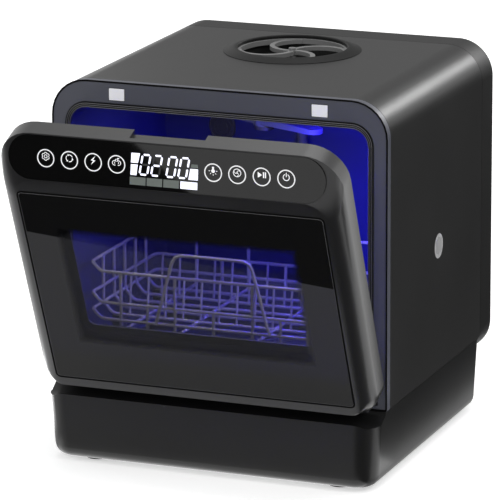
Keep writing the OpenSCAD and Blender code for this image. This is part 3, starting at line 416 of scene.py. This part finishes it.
def put(bm, name, material, body, matrix=None):
    """Makes an object of a bmesh, smooth with sharp edges kept, and lets it ride on a body."""
    mesh = bpy.data.meshes.new(name)
    bm.normal_update()
    bm.to_mesh(mesh)
    bm.free()
    if matrix is not None:
        mesh.transform(matrix)
    mesh.polygons.foreach_set("use_smooth", [True] * len(mesh.polygons))
    mesh.set_sharp_from_angle(angle=math.radians(40))
    mesh.materials.append(material)
    piece = add_object(name, mesh)
    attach(piece, body)
    return piece


SEAL_CORNER, SEAL_LOW_CORNER = 0.0268, 0.012
BEAD_R = 0.0006
LIPS_AT, LIP_SUNK = (0.0015, 0.0036, 0.0057), 0.0002
FOLDS_AT, FOLD_SUNK = (0.0004, 0.0026, 0.0046), 0.0003
seal_low, seal_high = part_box("door_gasket")


def seal_rings(insets, sunk, sides):
    """Round beads on the seal's face, one at each inset from its outer edge."""
    beads = bmesh.new()
    for inset in insets:
        sweep(beads, round_loop(seal_low.y + sunk, seal_high.x, seal_low.z, seal_high.z, SEAL_CORNER,
                                SEAL_LOW_CORNER, inset), BEAD_R, sides, closed=True)
    return beads


seal_rubber = satin("seal_rubber", (0.022, 0.022, 0.024), roughness=0.55, specular=0.3)
lip_rubber = satin("lip_rubber", (0.05, 0.05, 0.055), roughness=0.35, specular=0.6)
# Near-black for the seal's folds, the frame gap and the glass seam: painted shade in grooves that are only in
# shadow.
painted_gap_shade = satin("painted_gap_shade", (0.002, 0.002, 0.002), roughness=0.8, specular=0.05)
dress(["door_gasket"], seal_rubber)
put(seal_rings(LIPS_AT, LIP_SUNK, sides=8), "seal_lips", lip_rubber, "cabinet")
# The folds are near-black beads: painted shade between the lips.
put(seal_rings(FOLDS_AT, FOLD_SUNK, sides=6), "seal_fold_shade", painted_gap_shade, "cabinet")

FRAME_CORNER, FRAME_LOW_CORNER = 0.044, 0.002
GAP_R, GAP_IN, GAP_PROUD = 0.0011, 0.0005, 0.0001
frame_low, frame_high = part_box("front_frame")
# A near-black tube along the frame's edge: painted shade in the gap between frame and wrap.
gap = bmesh.new()
sweep(gap, round_loop(frame_low.y - GAP_PROUD, frame_high.x, frame_low.z + GAP_IN, frame_high.z, FRAME_CORNER,
                      FRAME_LOW_CORNER, GAP_IN), GAP_R, sides=8, closed=True)
put(gap, "frame_gap_shade", painted_gap_shade, "cabinet")


# Chamber lamp
# A row of blue lamps on a board behind a clear lens in the tub's ceiling. They light the chamber,
# more of it on the right, as the photograph shows, and a faint white light falls on the basket.

LAMP_PITCH, LENS_GLOW = 0.020, 4.0
LAMP_BLUE, BETWEEN_BLUE, LENS_COLOUR = (0.02, 0.01, 0.8), (0.10, 0.12, 1.0), (0.1, 0.12, 0.9)
BLUE_LIGHT = (0.035, 0.02, 1.0)
DOWN, UP = Vector((0, 0, -1)), Vector((0, 0, 1))

lens_blue, made, shader = surface("lens_blue")
along_lens = made.add("ShaderNodeSeparateXYZ", None, {
    0: made.add("ShaderNodeTexCoord", out="Object")}, out="X")
beat = along_lens.sum("PINGPONG", along_lens + LAMP_PITCH * 20, LAMP_PITCH / 2) * (2 / LAMP_PITCH)
made.fill(shader, {"Base Color": LENS_COLOUR, "Roughness": 0.15, "Emission Strength": LENS_GLOW,
                   "Emission Color": made.mix(beat, BETWEEN_BLUE, LAMP_BLUE)})
board_green = satin("board_green", (0.012, 0.10, 0.035), roughness=0.35, grain=220.0, spread=0.3)
dress(["lamp_lens"], lens_blue, rounding=0.0006)
dress(["lamp_board", "main_board", "touch_board"], board_green)


def in_tub(x, back, height):
    """A point by its distance behind the frame's face and above the cabinet's lower edge."""
    return Vector((x, frame_low.y + back, frame_low.z + height))


def tub_panel(name, stand, size, power, toward=DOWN):
    """A blue soft light in the chamber, which faces straight down or up."""
    soft_panel(name, stand, stand + toward, size, power, BLUE_LIGHT)


tub_panel("tub_light", in_tub(0.12, 0.036, 0.331), (0.10, 0.014), 2.6)
tub_panel("tub_fill", in_tub(0.13, 0.11, 0.325), (0.06, 0.10), 0.4)
tub_panel("tub_rise", in_tub(0, 0.15, 0.02), (0.30, 0.22), 0.2, toward=UP)
soft_panel("wire_light", in_tub(0, -0.03, 0.31), in_tub(0, 0.03, 0.08), (0.28, 0.02), 0.3)


# Sump, filter and spray arms
# Water collects in the sump under the tub floor, below a moulded filter cup and a punched steel
# plate. Two hollow grey arms spin above the floor and under the ceiling.

dark_moulding = satin("dark_moulding", (0.03, 0.03, 0.033), roughness=0.45)
arm_grey = satin("arm_grey", (0.09, 0.095, 0.13), roughness=0.38, specular=0.3)
punched_steel = satin("punched_steel", (0.62, 0.63, 0.65), roughness=0.22, metallic=1.0, grain=500.0,
                      spread=0.04)
dress(["sump", "sump_clamp_ring", "upper_arm_nut", "door_switch"], dark_moulding)
dress(["filter_cup", "riser_pipe"], arm_grey)
dress(["lower_spray_arm", "upper_spray_arm"], arm_grey, angle=38)
dress(["filter_plate"], punched_steel)


# Drying fan
# A dark moulded fan behind the tub blows through a short duct in the tub's back. A thin round flap
# with three raised rings hangs over the duct's hole inside.

FLAP_R, FLAP_THICK, FLAP_OFF_WALL = 0.0176, 0.0012, 0.0015
FLAP_RINGS, FLAP_RING_R, FLAP_RING_OFF = (0.006, 0.011, 0.016), 0.0006, 0.0008
joints = {joint["name"]: joint for joint in frame["joints"]}
fan_x, _, fan_z = joints["fan_rotor_spin"]["pos_m"]
flap_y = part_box("tub")[1].y - FLAP_OFF_WALL
flap_place = Matrix.Translation((fan_x, flap_y, fan_z)) @ Matrix.Rotation(math.pi / 2, 4, "X")

flap = bmesh.new()
bmesh.ops.create_cone(flap, cap_ends=True, segments=40, radius1=FLAP_R, radius2=FLAP_R, depth=FLAP_THICK,
                      matrix=flap_place)
for radius in FLAP_RINGS:
    circle = [polar(radius, 360 * i / 32, fan_x, fan_z) for i in range(32)]
    sweep(flap, [(x, flap_y - FLAP_RING_OFF, z) for x, z in circle], FLAP_RING_R, sides=6, closed=True)
put(flap, "drying_flap", dark_moulding, "cabinet")
dress(["fan_duct", "fan_housing", "fan_rotor"], dark_moulding)


# Pumps, heater and hoses
# Two motor pumps with white impellers, a steel tube heater on saddles, and black rubber hoses, all
# on the tray inside the base and never seen unless it is opened.

white_nylon = satin("white_nylon", (0.72, 0.72, 0.69), roughness=0.4, spread=0.04)
hose_rubber = satin("hose_rubber", (0.02, 0.02, 0.02), roughness=0.6, specular=0.3)
heater_steel = satin("heater_steel", (0.6, 0.6, 0.62), roughness=0.25, metallic=1.0, grain=300.0, spread=0.05)
dress(["wash_pump", "drain_pump"], dark_moulding)
dress(["wash_rotor", "drain_rotor", "board_tray", "fill_valve"], white_nylon)
dress(["tank_hose", "wash_hose", "drain_hose"], hose_rubber, angle=50)
dress(["flow_heater"], heater_steel)


# Filling mouth, tank and ports
# A low moulded collar stands on the wrap round the mouth, with a swirling guard in it. A dark funnel
# below leads to a milky tank behind the tub. A light grey slotted plug sits in the right side, and
# the moulded drain port and power inlet sit in the back.

collar_black = satin("collar_black", (0.008, 0.008, 0.008), roughness=0.42, specular=0.08)
guard_black = satin("guard_black", (0.15, 0.15, 0.15), roughness=0.32, specular=0.5)
funnel_black = satin("funnel_black", (0.012, 0.012, 0.012), roughness=0.55, specular=0.3)
milky_tank = satin("milky_tank", (0.66, 0.69, 0.7), roughness=0.45, spread=0.03)
plug_grey = satin("plug_grey", (0.36, 0.36, 0.365), roughness=0.45)
dress(["inlet_collar"], collar_black, angle=25)
dress(["inlet_guard"], guard_black, rounding=0.0010)
dress(["inlet_funnel"], funnel_black)
dress(["water_tank"], milky_tank, rounding=0.002)
dress(["vent_plug"], plug_grey, rounding=0.0004)
dress(["drain_port", "power_inlet"], collar_black, rounding=0.0005)


# Hinge
# Plain steel brackets behind the frame hold the pins, and steel arms in the door turn on them in
# white nylon bushes.

hinge_steel = satin("hinge_steel", (0.5, 0.5, 0.52), roughness=0.32, metallic=1.0, grain=350.0, spread=0.06)
dress(["hinge_brackets", "hinge_arms"], hinge_steel, rounding=0.0003)
dress(["hinge_pins"], hinge_steel)
dress(["hinge_bushes"], white_nylon)


# Door
# A deep satin black moulding with soft sides, closed from behind by a blue-grey liner that screws
# hold. It stands open at rest by as much as its hinge can turn back to shut it.

HINGE = Vector(joints["door_hinge"]["pos_m"])
DOOR_TURN = -math.radians(joints["door_hinge"]["range_deg"][0])
door_place = Matrix.Translation(HINGE) @ Matrix.Rotation(DOOR_TURN, 4, "X")


def box_round(points):
    """The lowest and the highest corner of the box round some points."""
    return [Vector(end(point[i] for point in points) for i in range(3)) for end in (min, max)]


def door_box(name):
    """The box round a CAD node of the door, with the door upright and its hinge at the origin."""
    shut = door_place.inverted()
    return box_round([shut @ vertex.co for vertex in nodes[name].data.vertices])


shell_black = satin("shell_black", (0.010, 0.010, 0.0105), roughness=0.30, specular=0.5)
liner_grey = satin("liner_grey", (0.05, 0.052, 0.066), roughness=0.42, specular=0.4)
magnet_nickel = satin("magnet_nickel", (0.6, 0.6, 0.61), roughness=0.2, metallic=1.0, grain=200.0,
                      spread=0.04)
dress(["door_shell"], shell_black, angle=30)
dress(["door_liner"], liner_grey)
dress(["door_magnets"], magnet_nickel)


# Door glass
# A flat toughened pane set flush in the shell, with a ground edge round it and, round that, a near-black seam
# that is painted shade. Its border is printed black from behind and its middle is a tinted window, a little
# smaller than the liner's own pane behind it, which is plain clear glass.

PRINT_OVER_X, PRINT_OVER_Z = 0.009, 0.008
FADE_FROM, FADE_TO = -0.0005, 0.009
PRINT_BLACK, TINT, TINT_ALPHA = (0.0055, 0.0055, 0.0055), (0.004, 0.004, 0.005), 0.36
CLEAR_DEEP, CLEAR_PALE, CLEAR_ALPHA = (0.02, 0.02, 0.022), (0.03, 0.03, 0.032), 0.08
SMEAR_SCALE, SMEAR_DULLS, GLASS_ROUGHNESS = 14.0, 0.015, 0.008
GLASS_CORNER, RIM_SUNK = 0.005, 0.0001
SEAM_OUT, SEAM_R, EDGE_IN, EDGE_R = 0.0007, 0.0011, 0.0007, 0.0004
glass_low, glass_high = door_box("door_glass")
pane_low, pane_high = door_box("liner_window")


def pane(name, specular):
    """See-through glass with a faint smear in its gloss, ready for its colour and its alpha."""
    material, made, shader = surface(name)
    smear = made.noise(SMEAR_SCALE, 2.0)
    made.fill(shader, {"Roughness": smear * SMEAR_DULLS + GLASS_ROUGHNESS, "Specular IOR Level": specular})
    material.surface_render_method = "BLENDED"
    return material, made, shader, smear


door_tint, made, shader, smear = pane("door_tint", specular=0.24)
x, y, z = made.add("ShaderNodeSeparateXYZ", None, {0: made.add("ShaderNodeTexCoord", out="Object")},
                   out=("X", "Y", "Z"))
height = (z - HINGE.z) * math.cos(DOOR_TURN) - (y - HINGE.y) * math.sin(DOOR_TURN)
inside_x = pane_high.x - PRINT_OVER_X - abs(x)
inside_z = (pane_high.z - pane_low.z) / 2 - PRINT_OVER_Z - abs(height - (pane_low.z + pane_high.z) / 2)
window = made.ramp(inside_x.sum("MINIMUM", inside_x, inside_z), FADE_FROM, FADE_TO)
made.fill(shader, {"Base Color": made.mix(window, PRINT_BLACK, TINT),
                   "Alpha": window * (TINT_ALPHA - 1) + 1.0})

liner_clear, made, shader, smear = pane("liner_clear", specular=0.3)
made.fill(shader, {"Base Color": made.mix(smear, CLEAR_DEEP, CLEAR_PALE),
                   "Alpha": smear * 0.02 + CLEAR_ALPHA})
dress(["door_glass"], door_tint)
dress(["liner_window"], liner_clear)

edge_grey = satin("edge_grey", (0.05, 0.05, 0.052), roughness=0.22, specular=0.5)
# The seam is a near-black tube: painted shade in the groove round the glass.
for name, grow, radius, material in (("glass_seam_shade", SEAM_OUT, SEAM_R, painted_gap_shade),
                                     ("glass_edge", -EDGE_IN, EDGE_R, edge_grey)):
    rim = bmesh.new()
    sweep(rim, round_loop(glass_low.y + RIM_SUNK, glass_high.x, glass_low.z, glass_high.z, GLASS_CORNER,
                          GLASS_CORNER + grow, -grow), radius, sides=8, closed=True)
    put(rim, name, material, "door", door_place)


# Control strip
# A piano black stadium-shaped plate glued on the door's sloping band. The keys and the display are
# printed on its face or shine through it, in shapes that are drawn in millimetres from its middle.

INK_PROUD, INK_SUNK = 0.00008, 0.00002
INK_GRAIN, INK_THIN = 240.0, 0.88
MILLIMETRE = 0.001
SAME_PLANE = 0.00001

piano_black = satin("piano_black", (0.0035, 0.0035, 0.0035), roughness=0.03, grain=120.0, depth=0.000001,
                    specular=0.4, spread=0.2)
display_dark = satin("display_dark", (0.01, 0.011, 0.012), roughness=0.2)
dress(["control_strip"], piano_black)
dress(["display_module"], display_dark)


def face_place(name):
    """The middle and the slope of a plate's broad front face, read from its CAD node."""
    mesh = nodes[name].data
    face = max(mesh.polygons, key=lambda each: each.area if each.normal.y < 0 else 0)
    level = face.normal.dot(mesh.vertices[face.vertices[0]].co)
    low, high = box_round([v.co for v in mesh.vertices if abs(face.normal.dot(v.co) - level) < SAME_PLANE])
    return Matrix.Translation((low + high) / 2) @ Matrix.Rotation(math.asin(-face.normal.z), 4, "X")


strip_place = face_place("control_strip")


def lit(name, colour, strength):
    """Printing ink or a lamp behind the strip, a little uneven as ink and light are; on ink its glow is
    painted light.
    """
    material, made, shader = surface(name)
    uneven = made.noise(INK_GRAIN, 1.0)
    ink = made.mix(uneven, tuple(c * INK_THIN for c in colour), colour)
    made.fill(shader, {"Base Color": ink, "Emission Color": ink, "Emission Strength": strength,
                       "Roughness": uneven * 0.1 + 0.3})
    return material


class Print:
    """Flat shapes in X and Z on the strip's face, drawn round a middle and kept as one thin mesh."""

    def __init__(self):
        self.bm = bmesh.new()
        self.middle = (0.0, 0.0)

    def shape(self, *points):
        """A flat shape with those corners, as thick as the ink."""
        across, height = self.middle
        places = [((across + x) * MILLIMETRE, (height + z) * MILLIMETRE) for x, z in points]
        front = [self.bm.verts.new((x, -INK_PROUD, z)) for x, z in places]
        back = [self.bm.verts.new((x, INK_SUNK, z)) for x, z in places]
        self.bm.faces.new(front)
        self.bm.faces.new(reversed(back))
        for i in range(len(points)):
            k = (i + 1) % len(points)
            self.bm.faces.new((front[k], front[i], back[i], back[k]))

    def arc(self, inner, outer, start=0, end=360, x=0.0, z=0.0, steps=36):
        """A flat band round a point, from one angle to another."""
        for i in range(steps):
            one, two = (start + (end - start) * k / steps for k in (i, i + 1))
            self.shape(*(polar(radius, turn, x, z)
                         for radius, turn in ((inner, one), (outer, one), (outer, two), (inner, two))))

    def disc(self, radius, x=0.0, z=0.0, steps=20):
        self.shape(*(polar(radius, 360 * i / steps, x, z) for i in range(steps)))

    def line(self, x0, z0, x1, z1, width=0.7):
        """A line with square ends."""
        long = math.hypot(x1 - x0, z1 - z0)
        sx, sz = (z1 - z0) / long * width / 2, (x0 - x1) / long * width / 2
        self.shape((x0 + sx, z0 + sz), (x1 + sx, z1 + sz), (x1 - sx, z1 - sz), (x0 - sx, z0 - sz))

    def bar(self, x0, z0, x1, z1, width):
        """A line with round ends."""
        turn = math.degrees(math.atan2(z1 - z0, x1 - x0))
        self.shape(*(polar(width / 2, start + 30 * i, x, z)
                     for x, z, start in ((x1, z1, turn - 90), (x0, z0, turn + 90)) for i in range(7)))

    def put(self, name, material):
        """Lays the finished print on the strip."""
        bmesh.ops.recalc_face_normals(self.bm, faces=self.bm.faces)
        put(self.bm, name, material, "door", strip_place)


# Touch keys
# Eight places on the strip where the board behind it feels a finger. Each is printed in white as a ring with
# a plain symbol in its upper half. The white print is given a faint glow of its own, which is painted light.

KEY_X = [-147, -117.5, -88, -59, 59, 88, 117.5, 147]
KEY_OUT, KEY_LINE = 10.8, 1.35
SYMBOL_UP = 2.2


def flower(ink):
    ink.arc(1.5, 2.2)
    for i in range(6):
        x, z = polar(3.1, 90 + 60 * i)
        ink.arc(1.3, 2.0, 60 * i - 5, 60 * i + 185, x, z, steps=12)


def turning_arrows(ink):
    for turn in (0, 120, 240):
        ink.arc(3.6, 4.5, 20 + turn, 105 + turn, steps=10)
        ink.shape(polar(5.4, 105 + turn), polar(4.05, 128 + turn), polar(2.7, 105 + turn))


def lightning(ink):
    ink.shape((2.9, 5.4), (-3.1, 0.0), (-0.3, -0.2))
    ink.shape((-2.9, -5.4), (3.1, 0.0), (0.3, 0.2))
    ink.shape((-3.1, 0.0), (-0.3, -0.6), (3.1, 0.0), (0.3, 0.6))


def cherries(ink):
    for x, start, end in ((-2.4, 40, 290), (2.4, -110, 140)):
        ink.arc(2.3, 3.1, start, end, x, -0.6, steps=20)
        ink.line(x, 1.9, x / 8, 4.0)
        ink.line(x, 0.6, x, -1.6)
    ink.shape((0.3, 4.0), (1.6, 5.3), (3.9, 5.0), (2.5, 3.8))


def bulb(ink):
    ink.disc(2.2, z=-0.3)
    ink.shape((-1.0, 1.2), (-1.3, 4.6), (1.3, 4.6), (1.0, 1.2))
    for turn in (180, 225, 270, 315, 360):
        ink.line(*polar(3.5, turn, z=-0.3), *polar(5.2, turn, z=-0.3))


def fan_wheel(ink):
    ink.arc(4.1, 4.9)
    for turn in (30, 150, 270):
        x, z = polar(2.0, turn)
        ink.arc(1.3, 1.9, turn, turn + 220, x, z, steps=12)


def start_and_pause(ink):
    ink.shape((-4.6, 3.4), (-4.6, -3.4), (0.6, 0))
    for x in (1.6, 3.9):
        ink.shape((x, -3.4), (x + 1.4, -3.4), (x + 1.4, 3.4), (x, 3.4))


def power(ink):
    ink.arc(3.2, 4.1, 115, 425, z=-0.4, steps=30)
    ink.bar(0, 0.4, 0, 4.6, 0.9)


SYMBOLS = (flower, turning_arrows, lightning, cherries, bulb, fan_wheel, start_and_pause, power)
key_rings, key_symbols = Print(), Print()
for x, symbol in zip(KEY_X, SYMBOLS):
    key_rings.middle = (x, 0.0)
    key_rings.arc(KEY_OUT - KEY_LINE, KEY_OUT, steps=48)
    key_symbols.middle = (x, SYMBOL_UP)
    symbol(key_symbols)
# The rings and symbols glow faintly: painted light on printed ink, with no lamp behind it.
key_rings.put("key_rings", lit("ring_ink_glow", (0.78, 0.78, 0.79), 0.25))
key_symbols.put("key_symbols", lit("symbol_ink_glow", (0.85, 0.85, 0.86), 0.3))


# Display
# Lamps behind the middle of the strip: four slanted digits of seven bars, of which some are lit and
# the others show faintly, with plain lit marks and dim tabs beside and below them. It reads 02 00.

SLANT = 0.21
DIGIT_X, DIGIT_Z = [-24.0, -9.7, 8.8, 23.3], 2.3
DIGIT_W, DIGIT_H, BAR_W = 9.6, 23.4, 2.3
BAR_SHORT_X, BAR_SHORT_Z = 1.05, 1.15
LIT_BARS = ["abcdef", "abged", "abcdef", "abcdef"]

# Each bar from one end to the other, in half widths and quarter heights of the digit.
BAR_ENDS = {"a": (-1, 2, 1, 2), "b": (1, 2, 1, 0), "c": (1, 0, 1, -2), "d": (-1, -2, 1, -2),
            "e": (-1, 0, -1, -2), "f": (-1, 2, -1, 0), "g": (-1, 0, 1, 0)}
TAB_LOW, TAB_TOP, TAB_LEAN = -22.2, -12.9, 0.5


def bar_end(x, z, other_x, other_z):
    """Where a bar stops, a little short of the digit's corner, on the slant."""
    across = x * DIGIT_W / 2 + (other_x - x) * BAR_SHORT_X
    height = z * DIGIT_H / 4 + (other_z - z) * BAR_SHORT_Z
    return across + height * SLANT, height


lit_parts, dim_parts, tabs = Print(), Print(), Print()
for digit_x, shown in zip(DIGIT_X, LIT_BARS):
    lit_parts.middle = dim_parts.middle = (digit_x, DIGIT_Z)
    for letter, (x0, z0, x1, z1) in BAR_ENDS.items():
        ink = lit_parts if letter in shown else dim_parts
        ink.bar(*bar_end(x0, z0, x1, z1), *bar_end(x1, z1, x0, z0), BAR_W)
lit_parts.middle = (0.0, 0.0)
lit_parts.shape((-40.2, 15.2), (-41.2, 3.7), (-32.6, 3.7), (-29.6, 15.2))
lit_parts.shape((-41.3, 1.8), (-42.2, -10.8), (-34.9, -10.8), (-32.8, 1.8))
lit_parts.shape((31.4, 2.2), (28.6, -10.8), (40.2, -10.8), (40.8, 2.2))
lit_parts.shape((19.0, -13.4), (18.6, -22.0), (39.2, -22.0), (39.6, -13.4))
for left, wide in ((-43.0, 19.4), (-22.2, 19.0), (-1.8, 19.0)):
    tabs.shape((left, TAB_TOP), (left - TAB_LEAN, TAB_LOW), (left + wide - TAB_LEAN, TAB_LOW),
               (left + wide, TAB_TOP))
tabs.shape((33.0, 7.6), (32.0, 3.6), (40.6, 3.6), (40.6, 7.6))
lit_parts.put("display_lit", lit("display_white", (0.86, 0.87, 1.0), 0.75))
dim_parts.put("display_dim", lit("display_shadow", (0.012, 0.013, 0.014), 0.2))
tabs.put("display_tabs", lit("tab_grey", (0.10, 0.115, 0.105), 0.3))


# Basket
# A basket of bent steel wires with a grey nylon coat: three rails, floor and side hoops, two rows of
# tines that part the load, a handle at the front, and four glides that run on the tub's ledges.

WIRE_R = 0.002
RAIL_UP = (0.0, 0.014, 0.034, 0.072)
LONG_X, SHORT_X = (-0.118, -0.049, 0.049, 0.118), (-0.084, 0.0, 0.084)
CORNER_X, CORNER_Y, RAIL_BEND = 0.029, 0.039, 0.009
HOOP_BEND, FLOOR_IN, SHORT_DROP = 0.006, 0.012, 0.008
TINE_X, TINE_UP, TINE_LEAN = [0.023 * i for i in range(-6, 7)], 0.050, 0.006
TINE_R = 0.0015
HANDLE_X, HANDLE_UP, HANDLE_BEND = (0.048, 0.072), 0.101, 0.013

basket_low, basket_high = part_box("basket_frame")
half_w = basket_high.x - WIRE_R
front_y, back_y = basket_low.y + WIRE_R, basket_high.y - WIRE_R
rail_z = [basket_low.z + WIRE_R + rise for rise in RAIL_UP]
side_y = [front_y + CORNER_Y + (back_y - front_y - CORNER_Y) * i / 6 for i in range(1, 6)]


def bent(path, r, steps=5, closed=False):
    """The path with its corners rounded off over the length r on both sides."""
    path = [Vector(p) for p in path]
    made = [] if closed else [path[0]]
    for k in range(0 if closed else 1, len(path) if closed else len(path) - 1):
        before, after = path[k - 1] - path[k], path[(k + 1) % len(path)] - path[k]
        a = path[k] + before.normalized() * min(r, before.length * 0.45)
        b = path[k] + after.normalized() * min(r, after.length * 0.45)
        for t in (i / steps for i in range(steps + 1)):
            made.append(a.lerp(path[k], t).lerp(path[k].lerp(b, t), t))
    return made if closed else made + [path[-1]]


wires = bmesh.new()
for z in rail_z[1:]:
    sweep(wires, bent([(CORNER_X - half_w, front_y, z), (half_w - CORNER_X, front_y, z),
                       (half_w, front_y + CORNER_Y, z), (half_w, back_y, z), (-half_w, back_y, z),
                       (-half_w, front_y + CORNER_Y, z)], RAIL_BEND, closed=True), WIRE_R, closed=True)
for x in LONG_X:
    sweep(wires, bent([(x, front_y, rail_z[3]), (x, front_y, rail_z[0]), (x, back_y, rail_z[0]),
                       (x, back_y, rail_z[3])], HOOP_BEND), WIRE_R)
for x in SHORT_X:
    for y in (front_y, back_y):
        sweep(wires, [(x, y, rail_z[1] - SHORT_DROP), (x, y, rail_z[2])], WIRE_R)
for y in side_y:
    sweep(wires, bent([(-half_w, y, rail_z[3]), (-half_w, y, rail_z[1]), (FLOOR_IN - half_w, y, rail_z[0]),
                       (half_w - FLOOR_IN, y, rail_z[0]), (half_w, y, rail_z[1]), (half_w, y, rail_z[3])],
                      HOOP_BEND), WIRE_R)
for y in (side_y[0], side_y[3]):
    for x in TINE_X:
        sweep(wires, [(x, y, rail_z[0]), (x, y + TINE_LEAN, rail_z[0] + TINE_UP)], TINE_R, sides=8)
wire_coat = satin("wire_coat", (0.42, 0.40, 0.43), roughness=0.38, grain=700.0, depth=0.00006, specular=0.5)
basket = put(wires, "basket_wires", wire_coat, "basket")
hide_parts("basket_frame")

handle = bmesh.new()
handle_y, handle_z = front_y - 2 * WIRE_R, rail_z[0] + HANDLE_UP
sweep(handle, bent([(-HANDLE_X[1], handle_y, rail_z[1]), (-HANDLE_X[0], handle_y, handle_z),
                    (HANDLE_X[0], handle_y, handle_z), (HANDLE_X[1], handle_y, rail_z[1])],
                   HANDLE_BEND, steps=8), WIRE_R, sides=12)
grip = put(handle, "basket_grip", wire_coat, "basket")
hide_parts("basket_handle")
dress(["basket_glides"], dark_moulding, rounding=0.001)
